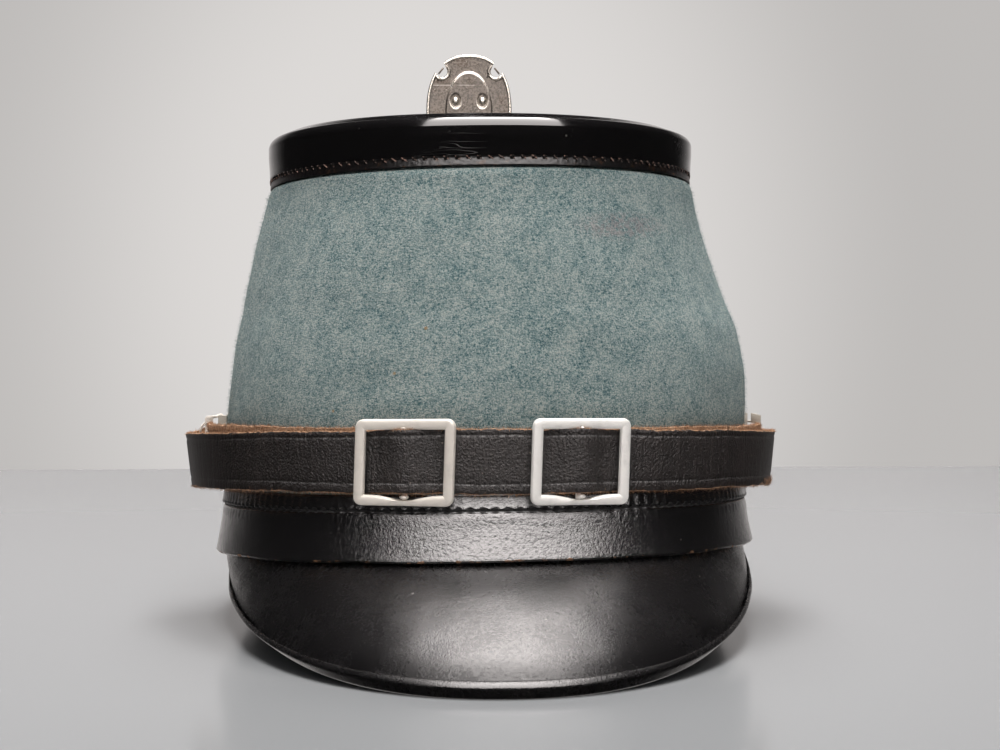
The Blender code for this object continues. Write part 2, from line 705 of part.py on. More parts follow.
def main():
    clear_scene()
    hat = make_collection("shako_hat")
    cutters = make_collection("shako_hat_cutters")
    build_crown_body(hat)
    build_crown_top(hat)
    build_base_band(hat)
    for peak in PEAKS:
        build_peak(peak, hat)
        build_binding(peak, hat)
    build_strap(hat)
    build_buckle("buckle_left", BUCKLE_X[0], hat, cutters)
    build_buckle("buckle_right", BUCKLE_X[1], hat, cutters)
    for word, side in (("left", -1.0), ("right", 1.0)):
        build_side_ring("side_ring_" + word, side, hat)
        build_side_plate("side_plate_" + word, side, hat)
    build_badge(hat, cutters)
    for word, side in (("left", -1.0), ("right", 1.0)):
        build_rivet("badge_rivet_" + word, BADGE_X + side * RIVET_SPREAD, RIVET_LEVEL, hat)
        build_tab("badge_tab_" + word, side, hat)
    build_post(hat)


main()
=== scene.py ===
"""Shako hat: felt crown, lacquered lid, leather band and peaks, buckled chin strap, badge plate.

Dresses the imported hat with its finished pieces, one operator for each piece or group of like
pieces, and sets it on a pale table under a soft overhead light.
"""

import math
from functools import cached_property

import bmesh
import bpy
import numpy as np
from bpy.props import FloatProperty, FloatVectorProperty, IntProperty, PointerProperty
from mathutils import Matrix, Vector


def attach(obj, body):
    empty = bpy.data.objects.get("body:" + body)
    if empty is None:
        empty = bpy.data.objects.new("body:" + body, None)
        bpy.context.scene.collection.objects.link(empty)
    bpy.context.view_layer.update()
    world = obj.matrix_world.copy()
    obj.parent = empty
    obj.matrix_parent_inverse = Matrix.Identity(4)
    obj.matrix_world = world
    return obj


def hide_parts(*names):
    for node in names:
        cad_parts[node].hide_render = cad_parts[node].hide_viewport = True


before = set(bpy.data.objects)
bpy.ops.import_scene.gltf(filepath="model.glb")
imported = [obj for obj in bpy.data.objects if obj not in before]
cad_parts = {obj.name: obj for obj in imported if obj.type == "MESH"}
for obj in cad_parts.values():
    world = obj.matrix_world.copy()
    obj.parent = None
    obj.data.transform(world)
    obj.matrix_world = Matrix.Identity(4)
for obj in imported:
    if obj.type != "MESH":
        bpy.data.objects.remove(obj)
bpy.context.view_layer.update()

bl_info = {
    "name": "Shako Hat",
    "version": (1, 0, 0),
    "blender": (4, 5, 0),
    "location": "View3D > Sidebar > Shako",
    "description": "Builds a felt and leather shako piece by piece",
    "category": "Add Mesh",
}

BODY = "root"
MM = 0.001

# ---- driving sizes, in millimetres ------------------------------------------------------------
# The hat faces -Y with its near peak. Heights are read at the hat's sides, on the plane y = 0 of
# the hat's own middle; a lean raises a section's near side and a side lean its right side.
HAT_MIDDLE = np.array((1.22, 8.35, 0.0))
OVAL_POWER = 2.12
GAP = 0.3
SIDE_LEAN = 0.9

FELT_WALL = 2.5
FELT_AROUND = 300                # points round a ring of the felt
FELT_FOOT = 44.0                 # the felt shows from here up
LID_COVERS = (144.4, 142.6)      # and fades out here, under the lid
FELT_SWELLS = ((62.0, 3, 0.34), (24.0, 5, 0.12), (5.0, 6, 0.035))    # wavelength, seed, height
CROWN_SECTIONS = (
    # height, left, right, near, far, lean, side lean
    (158.5, 69.3, 66.6, 79.4, 79.4, 2.2, 0.4), (145.0, 70.4, 67.6, 80.5, 80.5, 3.7, 0.7),
    (144.5, 72.8, 70.0, 83.0, 82.8, 3.7, 0.7), (140.6, 73.9, 71.0, 84.2, 83.9, 3.7, 0.7),
    (134.0, 75.6, 72.2, 86.2, 86.0, 3.7, 0.7), (126.4, 77.5, 74.1, 88.7, 88.4, 3.7, 0.7),
    (118.0, 79.2, 76.8, 91.3, 90.8, 3.8, 0.8), (110.9, 80.7, 79.2, 93.3, 92.6, 3.8, 0.8),
    (103.0, 82.2, 82.2, 95.3, 94.6, 3.9, 0.8), (95.3, 84.0, 85.4, 97.3, 96.4, 4.0, 0.8),
    (87.0, 85.5, 87.3, 99.3, 98.3, 4.1, 0.9), (79.8, 86.6, 88.4, 100.8, 99.8, 4.2, 0.9),
    (69.4, 87.7, 88.7, 102.7, 101.6, 4.3, 0.9), (58.0, 88.0, 88.2, 104.2, 103.0, 4.4, 0.9),
    (40.0, 87.3, 87.2, 104.8, 103.6, 4.4, 0.9), (24.5, 87.6, 87.3, 105.0, 103.8, 4.4, 0.9),
)

LID_OUTLINE = (73.5, 70.6, 83.6, 83.6)
LID_TOP = 163.1
LID_AROUND = 320
LID_PROFILE = (
    # inset, drop, lean, side lean: from the disc over the rolled rim to the skirt's hem
    (10, 0, 3, 0), (8, 0.06, 3, 0), (7, 0.18, 3, 0), (6.5, 0.34, 3, 0), (5.5, 0.72, 3, 0),
    (4.5, 1.1, 3, 0), (3.3, 1.56, 3, 0.05), (2.12, 2.01, 3.05, 0.1), (1.5, 2.32, 3.05, 0.1),
    (0.96, 2.76, 3.1, 0.15), (0.52, 3.3, 3.1, 0.15), (0.21, 3.92, 3.1, 0.2), (0.05, 4.48, 3.15, 0.25),
    (0, 4.95, 3.15, 0.25), (0, 5.6, 3.2, 0.3), (0, 7.6, 3.2, 0.3), (0.25, 11.6, 3.4, 0.5),
    (0.35, 14.3, 3.55, 0.6), (0.75, 15.1, 3.6, 0.65), (0.65, 16.1, 3.65, 0.7), (0.45, 17.6, 3.7, 0.7),
    (0.62, 17.9, 3.7, 0.7),
)
LID_INSIDE = (
    (2.25, 17.9, 3.7, 0.7), (2.2, 13.9, 3.55, 0.6), (2, 7.4, 3.2, 0.3), (2.4, 5, 3.15, 0.2),
    (3.9, 2.9, 3.05, 0.1), (7, 1.9, 3, 0), (13, 1.8, 3, 0),
)
LID_STITCH = (0.62, 15.2, 3.70, 0.72)

BAND_WALL = 0.9
BAND_TOP = 42.9
BAND_AROUND = 1080
BAND_PROFILE = (
    # drop, swell, lean, side lean: from the lip over the seam groove to the flared foot
    (0, 0.1, 4.1, 0.6), (0.35, 0.42, 4.1, 0.6), (1.2, 0.68, 4.1, 0.6), (2.4, 1.04, 4.1, 0.6),
    (3.15, 1.26, 4.1, 0.6), (3.5, 0.95, 4.1, 0.6), (3.75, 0.5, 4.1, 0.6), (4.05, 0.55, 4.1, 0.6),
    (4.6, 0.8, 4.1, 0.6), (9.5, 1.45, 4.2, 0.7), (13.6, 2.05, 4.3, 0.8), (17.6, 2.75, 4.4, 0.9),
    (18.8, 3, 4.4, 0.9), (19.4, 2.6, 4.4, 0.9),
)
BAND_SEAM = 3.7                  # drop of the stitched groove
SEAM_ROW = 24                    # row of the band's grid that runs along it
DENT_RADIUS = 1.25               # half-round dents along the seam
DENT_DEPTH = 0.38
NEAR_FLARE = 0.9                 # how much more the band's face flares at the near side
LIP_CLIMB = 1.7                  # how much higher the lip stands at the sides, behind the strap
BAND_THREAD_SPAN = (-55.0, -30.0)    # where brown thread still shows in the seam, in degrees

PEAK_SHEET = 2.4
PEAK_MARGIN = 5.6
PEAK_ROWS = 24
BINDING_DEPTH = 2.7
BINDING_FOLD = (
    # outward, upward: over the peak's edge from the upper mouth to the lower one
    (-2.70, 1.86), (-2.50, 2.22), (-1.80, 2.50), (-0.90, 2.56), (-0.10, 2.44), (0.42, 2.05),
    (0.72, 1.45), (1.00, 0.60), (1.28, -0.25), (1.42, -0.85), (1.25, -1.40), (0.66, -1.84),
    (-0.30, -2.07), (-1.60, -2.10), (-2.45, -2.04), (-2.70, -1.86),
)
BINDING_EASE = 0.3               # the fold opens this much wider at its mouth
BINDING_FROM = 6.0               # the binding starts where the peak is this deep
PEAK_DULL = 15.0                 # the peak's polish fades this close to its edge
EDGE_DROP = 0.35
EDGE_FLAT = 4.9
SWELL_OUT = 0.45                 # share of the swell that also pushes the peak outwards
PEAK_SWELLS = ((44.0, 31, 0.16), (15.0, 32, 0.035))      # wavelength, seed, height
PEAKS = {
    # side, sideways, half width, reach, edge height, side rise, rise power, fullness, swell,
    # end turn, stations
    "near": (-1.0, 1.3, 86.3, 154.3, 1.8, 19.5, 1.55, 2.10, 0.9, 87.0, 240),
    "far": (1.0, 0.0, 83.5, 137.6, 2.0, 15.5, 1.80, 2.0, 1.6, 85.0, 132),
}

SIDES = (("left", -1.0), ("right", 1.0))
STRAP_THICK = 1.8
STRAP_HALF = 9.9                 # half height at the near middle, and at the side rings
STRAP_END_HALF = 8.9
STRAP_LEVEL = 52.8
STRAP_LEANS = (4.8, 0.1)
STRAP_RETURN_RISE = {-1.0: 3.4, 1.0: 2.3}    # how far the returning layer stands above the outer one
RETURN_LEVEL_TURN = 8.0
STRAP_INNER = (93.5, 106.8)      # half width and near half length of the layer against the felt
STRAP_OUTER_LONG = 109.1
LOOP_RADII = {-1.0: 3.5, 1.0: 2.3}
RING_PIN_Y = 4.0
SPLAY_FROM = 80.0                # the strap's upper edge stands out sideways from here on
OUTER_TURNS = np.linspace(0.0, 86.0, 120)
INNER_TURNS = np.linspace(86.0, 12.5, 70)
BUCKLE_ZONE = 30.0               # turns nearer the middle keep their lifts over the bars
CREASE_IN = (1.9, 3.1)           # crease lines, in from the upper and from the lower edge
CREASE_LIPS = (8, 20)            # rows of the section just under each crease line
STRAP_WAVES = ((0.12, 0.11, 0.0), (0.08, 0.31, 1.0))     # height, beat and start of its slow waves

BUCKLE_X = (-26.0, 25.2)
BUCKLE_WIDE = 27.8
BUCKLE_TALL = 22.7
BUCKLE_RAIL = 1.6
BUCKLE_FLATNESS = 0.68
BUCKLE_CORNER = 1.0
BUCKLE_OUT = 2.35
BUCKLE_SHEAR = {"buckle_left": (0.8, 0.5), "buckle_right": (0.75, 0.0)}  # top and right side
BAR_PROFILE = ((0.02, 0.35), (0.45, 0.3), (0.75, 0.0))   # radius, and height past the bar's end
BUCKLE_HOLLOWS = ((-1.0, 1.55, 6.0), (1.0, 0.3, 4.0))    # lower or upper rail, depth, spread
BUCKLE_KNOBS = ((1.0, 1.15, 1.0), (-1.0, 1.0, 1.15))     # upper or lower, in from the end, radius
BAR_BACK = 1.5
BAR_LIFT = 3.3
BAR_SPREAD = 5.6

RING_WIRE = 0.40
RING_CORNER = 1.4
RING_PATHS = {
    # outward and upward of the strap's middle, round each wire ring
    -1.0: ((98.3, -8.0), (98.3, 11.0), (95.2, 13.9), (90.5, 15.8), (90.5, -8.2)),
    1.0: ((96.0, -8.0), (96.0, 12.0), (90.5, 12.5), (90.5, -8.2)),
}
STRIP_Y = 3.0                    # middle of the flat strip that stands beside each ring
STRIP_THICK = 0.6
STRIP_BEVEL, PLATE_BEVEL = 0.10, 0.15    # rounding of the flat strips and of the folded plates
STRIPS = {
    -1.0: ((94.8, -6.0), (96.6, -6.0), (96.6, 14.3), (96.0, 15.0), (91.6, 15.4), (91.6, 14.5),
           (93.9, 14.2), (93.9, 12.4), (94.8, 12.0)),
    1.0: ((94.8, -6.0), (96.7, -6.0), (96.8, 14.5), (93.3, 15.3), (93.3, 12.1), (94.8, 11.8)),
}

BADGE_X = -3.4
BADGE_Y = 84.8
BADGE_MIDDLE = 176.6
BADGE_HALVES = (16.3, 22.6)
BADGE_FULLNESS = 2.4
BADGE_SHEET = 0.9
BADGE_NOTCH = (10.3, 16.1)
NOTCH_RADIUS = 2.05
BADGE_ARCH = (9.0, 15.0)         # half width and height above its foot of the raised panel
ARCH_FOOT = 1.4
ARCH_PROUD = 0.42
RIVET_SPREAD = 5.1
RIVET_LEVEL = 181.7
RIVET_PROFILE = (
    # radius, height above the plate
    (0.02, 1.15), (0.35, 1.12), (0.75, 0.98), (1.1, 0.72), (1.4, 0.36), (1.58, 0.05), (1.65, -0.1),
    (1.5, -0.12), (0.02, -0.12),
)
DIMPLE = (2.2, 3.1, 0.35)        # half width, half height, depth
BADGE_BEAD = (1.25, 0.5)         # width and height of the rolled rim
TAB_BEVEL, POST_BEVEL = 0.12, 0.25
BADGE_SCORE = 187.6              # height of the fine scored line across the plate

# The camera stands in front, a little to the left, and looks slightly down
CAMERA_PLACE = (-0.01963, -0.74638, 0.124)
CAMERA_TURN = 2.0
CAMERA_DIP = 3.22
CAMERA_LENS = 78.66
SOFTBOX_PLACE = (0.0, 0.03, 1.155)
SOFTBOX_SIZE = (0.56, 1.03)
SOFTBOX_POWER = 27.0
# The window is laid out by the way a surface must face to mirror it, in degrees
TOWARDS_CAMERA = (-0.03, -1.0, 0.05)
WINDOW_TURN = (-17.0, 19.5)
WINDOW_CLIMB = (6.7, 70.0)
WINDOW_SOFT = 0.8
WINDOW_STRENGTH = 10.8
WINDOW_TONE = (1.0, 0.946, 0.926)
WINDOW_FADE = (15.0, 66.0, 0.85, 1.25)   # brighter from the lower climb to the higher one
GLOW_STRENGTH = 0.55             # pale light low behind the hat, as gloss mirrors it
FAINT_SHINE = 0.012              # light of the dark room in every gloss
SEEN_ROOM = (0.50, 0.49, 0.485)
ROOM_LIGHT = (0.47, 0.475, 0.48)     # from the camera's side
FAR_ROOM_LIGHT = (0.20, 0.205, 0.21)   # from behind the hat
SIDE_SHADE = 0.85                # how much darker the room is at the two sides
NO_LIGHT = (0.0, 0.0, 0.0)


# ---- settings ------------------------------------------------------------------------------------
def length(name, note, value):
    return FloatProperty(name=name, description=note, default=value, min=0.0, unit="LENGTH", precision=5)


def colour(name, note, value):
    return FloatVectorProperty(name=name, description=note, default=value, size=3, min=0.0, max=1.0,
                               subtype="COLOR")


class ShakoSizes(bpy.types.PropertyGroup):
    """Sizes of the small features."""

    fibre_length: length("Fibre length", "Length of the loose wool fibres", 0.0017)
    fibre_width: length("Fibre width", "Width of the loose wool fibres", 0.00007)
    fibre_density: FloatProperty(name="Fibre density", description="Loose fibres on a square metre",
                                 default=520000.0, min=0.0)
    lid_pitch: length("Lid stitch pitch", "Spacing of the stitches round the lid", 0.0034)
    band_pitch: length("Band stitch pitch", "Spacing of the stitches round the band", 0.0037)
    thread_width: length("Thread width", "Thickness of the sewing thread", 0.00045)
    pucker: length("Pucker", "Depth of the puckers along the band's lip", 0.00028)
    crease: length("Crease", "Depth of the crease lines along the strap", 0.00018)
    seed: IntProperty(name="Seed", description="Seed of the scattered fibres and stitches", default=7, min=0)


class ShakoColours(bpy.types.PropertyGroup):
    """Base colours of the finishes."""

    felt_dark: colour("Felt dark", "Darkest wool fibres", (0.034, 0.100, 0.115))
    felt_mid: colour("Felt", "Middle tone of the wool", (0.205, 0.285, 0.280))
    felt_light: colour("Felt light", "Palest wool fibres", (0.475, 0.505, 0.475))
    lacquer: colour("Lacquer", "Lid lacquer", (0.0055, 0.0050, 0.0052))
    band: colour("Band leather", "Blackened leather of band and peaks", (0.0095, 0.0088, 0.0092))
    worn: colour("Worn leather", "Brown leather where the black is rubbed off", (0.19, 0.095, 0.045))
    strap: colour("Strap leather", "Grain side of the strap", (0.0140, 0.0112, 0.0105))
    flesh: colour("Flesh side", "Raw inner side and edges of the strap", (0.44, 0.245, 0.140))
    nickel: colour("Buckle metal", "Pale satin plating", (0.82, 0.75, 0.67))
    # Painted light: the right buckle's metal is a lighter copy of the same plating, standing in for the stronger
    # light on that side.
    lit_nickel: colour("Lit buckle metal", "Right buckle's plating, painted lighter as if better lit", (0.97, 0.93, 0.88))
    side_metal: colour("Side metal", "Duller metal of the side fittings", (0.36, 0.325, 0.275))
    plate: colour("Plate metal", "White metal of the badge plate", (0.128, 0.111, 0.096))
    thread: colour("Thread", "Waxed sewing thread", (0.052, 0.030, 0.023))
    table: colour("Table", "Pale table top", (0.270, 0.272, 0.275))
    backdrop: colour("Backdrop", "Pale backdrop", (0.722, 0.700, 0.684))


# ---- shape helpers ------------------------------------------------------------------------------
def follow(keys, values, at):
    """Smooth curve through table rows that never swings past them."""
    keys = np.asarray(keys, float)
    values = np.asarray(values, float).reshape(len(keys), -1)
    if keys[0] > keys[-1]:
        keys, values = keys[::-1], values[::-1]
    rates = np.diff(values, axis=0) / np.diff(keys)[:, None]
    slopes = np.zeros_like(values)
    before, after = rates[:-1], rates[1:]
    same = before * after > 0.0
    total = np.where(same, before + after, 1.0)
    slopes[1:-1] = np.where(same, 2.0 * before * after / total, 0.0)
    slopes[0], slopes[-1] = rates[0], rates[-1]
    at = np.clip(np.asarray(at, float), keys[0], keys[-1])
    row = np.clip(np.searchsorted(keys, at, side="right") - 1, 0, len(keys) - 2)
    span = np.diff(keys)[row]
    t = ((at - keys[row]) / span)[:, None]
    span = span[:, None]
    return ((2 * t ** 3 - 3 * t ** 2 + 1) * values[row] + (t ** 3 - 2 * t ** 2 + t) * span * slopes[row]
            + (3 * t ** 2 - 2 * t ** 3) * values[row + 1] + (t ** 3 - t ** 2) * span * slopes[row + 1])


def drawn_out(rows, steps):
    """Table rows drawn out to this many along their smooth curve."""
    return follow(np.arange(len(rows)), rows, np.linspace(0, len(rows) - 1, steps))


def soft_step(low, high, value):
    t = np.clip((np.asarray(value, float) - low) / (high - low), 0.0, 1.0)
    return t * t * (3.0 - 2.0 * t)


def ripple(points, wavelength, seed, waves=9):
    """Gentle random swell in -1..1 over points, from a few plane waves."""
    rng = np.random.default_rng(seed)
    total = np.zeros(points.shape[:-1])
    for _ in range(waves):
        way = rng.normal(size=3)
        way /= np.linalg.norm(way)
        beat = 2.0 * math.pi / (wavelength * rng.uniform(0.6, 1.6))
        total += np.sin(points @ way * beat + rng.uniform(0.0, 2.0 * math.pi))
    return total / math.sqrt(waves)


def ripples(points, swells):
    """Sum of ripples over points, from rows of wavelength, seed and height."""
    return sum(ripple(points, wavelength, seed) * height for wavelength, seed, height in swells)


def rise(x, y, lean, side_lean=SIDE_LEAN):
    """Height gained at a point of a section with these leans."""
    return x * np.tan(np.radians(side_lean)) - y * np.tan(np.radians(lean))


def full_turn(steps):
    return 2.0 * math.pi * np.arange(steps) / steps


def oval_point(turn, fullness):
    """Point of an oval of unit size at this turn."""
    ways = np.stack((np.cos(turn), np.sin(turn)))
    return np.copysign(np.abs(ways) ** (2.0 / fullness), ways)


def place(*axes):
    """Points from their coordinates along each axis."""
    return np.stack(np.broadcast_arrays(*axes), axis=-1)


def oval_grid(rows, around, inset=0.0):
    """Rings of points from rows of height, left, right, near, far, lean and side lean."""
    height, left, right, near, far, lean, side_lean = np.asarray(rows, float).T[:, :, None]
    across, along = oval_point(full_turn(around), OVAL_POWER)
    x = across * (np.where(across > 0.0, right, left) - inset)
    y = along * (np.where(along > 0.0, far, near) - inset)
    return place(x, y, height + rise(x, y, lean, side_lean))


def crown_rows(heights):
    """Section rows of the felt at these heights."""
    sections = np.array(CROWN_SECTIONS)
    return np.column_stack((heights, follow(sections[:, 0], sections[:, 1:], heights)))


def unit(vectors):
    return vectors / np.linalg.norm(vectors, axis=-1, keepdims=True)


def travel(points):
    """Running length along a row of points."""
    return np.concatenate(([0.0], np.cumsum(np.linalg.norm(np.diff(points, axis=0), axis=1))))


def closed(ring):
    """Ring of points with its first point again at its end."""
    return np.vstack((ring, ring[:1]))


def edited(mesh, edit):
    """Run an edit over a mesh's vertices and faces."""
    work = bmesh.new()
    work.from_mesh(mesh)
    edit(work)
    work.to_mesh(mesh)
    work.free()


def linked(name, data):
    """New object of the scene that shows this data."""
    item = bpy.data.objects.new(name, data)
    bpy.context.scene.collection.objects.link(item)
    return item


def add_piece(name, mesh, finish, slot, *replaces):
    """Link a finished mesh as one piece of the hat."""
    piece = linked(name, mesh)
    mesh.materials.clear()
    mesh.materials.append(finish)
    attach(piece, BODY)
    if replaces:
        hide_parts(*replaces)
    return piece


def skin_mesh(name, grid, wrap_rows=False, marks=None, sharp=38.0):
    """Mesh over rings of points in millimetres, with a UV map in metres and named marks.

    The first and last ring are closed by a face each, unless the rows wrap round to each other.
    """
    rows, around = grid.shape[:2]
    row, step = (item.ravel() for item in np.indices((rows if wrap_rows else rows - 1, around)))
    next_row, next_step = (row + 1) % rows, (step + 1) % around
    faces = place(row * around + step, row * around + next_step,
                  next_row * around + next_step, next_row * around + step).tolist()
    if not wrap_rows:
        faces += [list(range(around))[::-1], list(range((rows - 1) * around, rows * around))]
    mesh = bpy.data.meshes.new(name)
    mesh.from_pydata(((grid.reshape(-1, 3) + HAT_MIDDLE) * MM).tolist(), [], faces)
    across, down = (travel(closed(line)) * MM for line in (grid[rows // 2], grid[:, around // 3]))
    corners = place(across[step[:, None] + (0, 1, 1, 0)], down[row[:, None] + (0, 0, 1, 1)])
    uv = np.zeros((len(mesh.loops), 2))
    uv[:corners.size // 2] = corners.reshape(-1, 2)
    mesh.uv_layers.new(name="Surface").data.foreach_set("uv", uv.ravel())
    for mark, values in (marks or {}).items():
        layer = mesh.attributes.new(mark, "FLOAT", "POINT")
        layer.data.foreach_set("value", np.broadcast_to(values, (rows, around)).astype(np.float32).ravel())
    edited(mesh, lambda work: bmesh.ops.recalc_face_normals(work, faces=work.faces))
    mesh.shade_smooth()
    mesh.set_sharp_from_angle(angle=math.radians(sharp))
    return mesh


def tube_mesh(name, path, section, upright):
    """Carry a section of outward and up offsets round a closed path in millimetres."""
    runs = unit(np.roll(path, -1, axis=0) - np.roll(path, 1, axis=0))
    sides = unit(np.cross(runs, upright))
    ups = np.cross(sides, runs)
    grid = path[:, None] + sides[:, None] * section[..., 0, None] + ups[:, None] * section[..., 1, None]
    return skin_mesh(name, grid, wrap_rows=True, sharp=50.0)


def plain_copy(item, name):
    """Plain mesh of an object as its modifiers leave it; the object itself goes."""
    graph = bpy.context.evaluated_depsgraph_get()
    done = bpy.data.meshes.new_from_object(item.evaluated_get(graph))
    source = item.data
    bpy.data.objects.remove(item, do_unlink=True)
    bpy.data.meshes.remove(source)
    done.name = name
    return done


def softened(mesh, name, width):
    """Mesh with its edges rounded this wide, in millimetres."""
    item = linked(name, mesh)
    bevel = item.modifiers.new("rounded edges", "BEVEL")
    bevel.width, bevel.segments, bevel.limit_method = width * MM, 3, "ANGLE"
    done = plain_copy(item, name)
    done.shade_smooth()
    done.set_sharp_from_angle(angle=math.radians(40.0))
    return done


def add_refined(node, name, width, finish, slot):
    """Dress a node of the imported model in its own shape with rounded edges."""
    def merge(work):
        bmesh.ops.remove_doubles(work, verts=work.verts, dist=1e-6)
        bmesh.ops.dissolve_limit(work, angle_limit=math.radians(2.0), verts=work.verts, edges=work.edges)

    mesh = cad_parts[node].data.copy()
    edited(mesh, merge)
    add_piece(name, softened(mesh, name, width), finish, slot, node)




# ---- node helpers -------------------------------------------------------------------------------
def is_socket(value):
    return isinstance(value, bpy.types.NodeSocket)


def shaded(tone, share):
    """Colour with each part multiplied by the share."""
    return tuple(part * share for part in tone)


class Desk:
    """Lays nodes in one tree."""

    def __init__(self, tree):
        self.tree = tree

    @cached_property
    def places(self):
        return self.add("ShaderNodeTexCoord").outputs["Object"]

    def add(self, kind, feeds=None, **settings):
        node = self.tree.nodes.new(kind)
        for key, value in settings.items():
            setattr(node, key, value)
        for socket, value in (feeds or {}).items():
            self.feed(node.inputs[socket], value)
        return node

    def first(self, kind, feeds=None, **settings):
        """First output of a new node."""
        return self.add(kind, feeds, **settings).outputs[0]

    def feed(self, socket, value):
        if is_socket(value):
            self.tree.links.new(value, socket)
        else:
            socket.default_value = value

    def math(self, operation, value, other=0.0, clamp=False):
        return self.first("ShaderNodeMath", {0: value, 1: other}, operation=operation, use_clamp=clamp)

    def times(self, value, *others):
        for other in others:
            value = self.math("MULTIPLY", value, other)
        return value

    def total(self, *parts, clamp=False):
        """Sum of values; a pair of values is multiplied first."""
        terms = [self.times(*part) if isinstance(part, tuple) else part for part in parts]
        result = terms[0]
        for term in terms[1:]:
            result = self.math("ADD", result, term, clamp and term is terms[-1])
        return result

    def most(self, value, *others):
        for other in others:
            value = self.math("MAXIMUM", value, other)
        return value

    def mix(self, share, low, high):
        """Colour between two colours; a pair of shares is multiplied first."""
        share = self.times(*share) if isinstance(share, tuple) else share
        low, high = (tone if is_socket(tone) else (*tone, 1.0) for tone in (low, high))
        node = self.add("ShaderNodeMix", {0: share}, data_type="RGBA", clamp_factor=True)
        self.feed(node.inputs[6], low)
        self.feed(node.inputs[7], high)
        return node.outputs[2]

    def span(self, value, low, high, out_low=0.0, out_high=1.0):
        return self.first("ShaderNodeMapRange", dict(enumerate((value, low, high, out_low, out_high))),
                          interpolation_type="SMOOTHSTEP", clamp=True)

    def noise(self, vector, scale, detail=2.0, rough=0.5, distortion=0.0):
        """Noise; a scale of three numbers stretches it."""
        if isinstance(scale, tuple):
            vector, scale = self.stretch(vector, scale), 1.0
        return self.first("ShaderNodeTexNoise", {"Vector": vector, "Scale": scale, "Detail": detail,
                                                 "Roughness": rough, "Distortion": distortion})

    def cells(self, vector, scale, feature="F1"):
        return self.add("ShaderNodeTexVoronoi", {"Vector": vector, "Scale": scale}, feature=feature).outputs

    def stretch(self, vector, scale, turn=(0.0, 0.0, 0.0), place=(0.0, 0.0, 0.0)):
        return self.first("ShaderNodeMapping", {"Vector": vector, "Location": place, "Rotation": turn,
                                                "Scale": scale})

    def reach(self, vector):
        return self.add("ShaderNodeVectorMath", {0: vector}, operation="LENGTH").outputs["Value"]

    def split(self, vector):
        return self.add("ShaderNodeSeparateXYZ", {0: vector}).outputs

    def ramp(self, value, *stops):
        node = self.add("ShaderNodeValToRGB", {"Fac": value})
        steps = node.color_ramp.elements
        steps[0].position, steps[1].position = stops[0][0], stops[-1][0]
        for at, _ in stops[1:-1]:
            steps.new(at)
        for step, (_, tone) in zip(steps, stops):
            step.color = (*tone, 1.0)
        return node.outputs[0]

    def bumps(self, *layers):
        """Normal raised by layers of height, distance in metres and strength, one on another."""
        normal = None
        for height, distance, strength in layers:
            node = self.add("ShaderNodeBump", {"Height": height, "Distance": distance, "Strength": strength})
            if normal is not None:
                self.feed(node.inputs["Normal"], normal)
            normal = node.outputs[0]
        return normal

    def mark(self, name):
        return self.add("ShaderNodeAttribute", attribute_name=name).outputs["Fac"]


class Finish(Desk):
    """Nodes of one material round its single Principled shader."""

    def __init__(self, name, **constants):
        self.material = bpy.data.materials.new(name)
        self.material.use_nodes = True
        super().__init__(self.material.node_tree)
        self.shader = self.tree.nodes["Principled BSDF"]
        self.give(**constants)

    def give(self, **values):
        """Feed the shader's own sockets, and hand the material back."""
        for label, value in values.items():
            self.feed(self.shader.inputs[label.replace("_", " ")], value)
        return self.material

    def effect(self, group, **values):
        """Outputs of a shared effect laid over this material."""
        feeds = {"Vector": self.places, **values}
        return self.add("ShaderNodeGroup", feeds, node_tree=group()).outputs

    def specks(self, size, amount):
        return self.effect(dust_specks, Size=size, Amount=amount)["Mask"]

    def wear(self, edge, size, reach):
        return self.effect(edge_wear, Edge=edge, Size=size, Reach=reach)["Mask"]


def node_group(name, kind, inputs, outputs):
    """Empty node group with named sockets, and its desk, entry sockets and leaving node."""
    tree = bpy.data.node_groups.new(name, kind)
    for way, sockets in (("INPUT", inputs), ("OUTPUT", outputs)):
        for label, socket, *default in sockets:
            item = tree.interface.new_socket(name=label, in_out=way, socket_type="NodeSocket" + socket)
            if default:
                item.default_value = default[0]
    desk = Desk(tree)
    return tree, desk, desk.add("NodeGroupInput").outputs, desk.add("NodeGroupOutput")


def built_once(name):
    """Let a builder of a node group run only the first time that its group is asked for."""
    def wrap(build):
        return lambda: bpy.data.node_groups.get(name) or build(name)
    return wrap


def shader_group(name, outputs=("Mask",), **inputs):
    """Make a shader group of a function that lays an effect and returns the outputs' values."""
    def wrap(lay):
        @built_once(name)
        def build(title):
            entries = [("Vector", "Vector")] + [(label, "Float", value) for label, value in inputs.items()]
            leaves = [(label, "Float") for label in outputs]
            tree, desk, entry, leave = node_group(title, "ShaderNodeTree", entries, leaves)
            for label, value in zip(outputs, lay(desk, *list(entry)[:len(entries)])):
                desk.feed(leave.inputs[label], value)
            return tree
        return build
    return wrap


@shader_group("Leather grain", ("Height", "Mottle"), Size=1200.0)
def leather_grain(desk, vector, size):
    """Pebbled grain with finer pores, as a height, and a slow mottle."""
    pebbles = desk.span(desk.cells(vector, size, "SMOOTH_F1")["Distance"], 0.05, 0.75, 1.0, 0.0)
    fine = desk.noise(vector, desk.times(size, 3.1), 3.0, 0.6)
    slow = desk.noise(vector, desk.times(size, 0.045), 3.0, 0.55)
    return desk.total((pebbles, 0.6), (fine, 0.4)), slow


@shader_group("Dust specks", Size=300.0, Amount=0.03)
def dust_specks(desk, vector, size, amount):
    """Sparse pale flecks lying on a surface."""
    cells = desk.cells(vector, size)
    chosen = desk.math("LESS_THAN", desk.first("ShaderNodeSeparateColor", {0: cells["Color"]}), amount)
    return (desk.times(desk.span(cells["Distance"], 0.07, 0.16, 1.0, 0.0), chosen),)


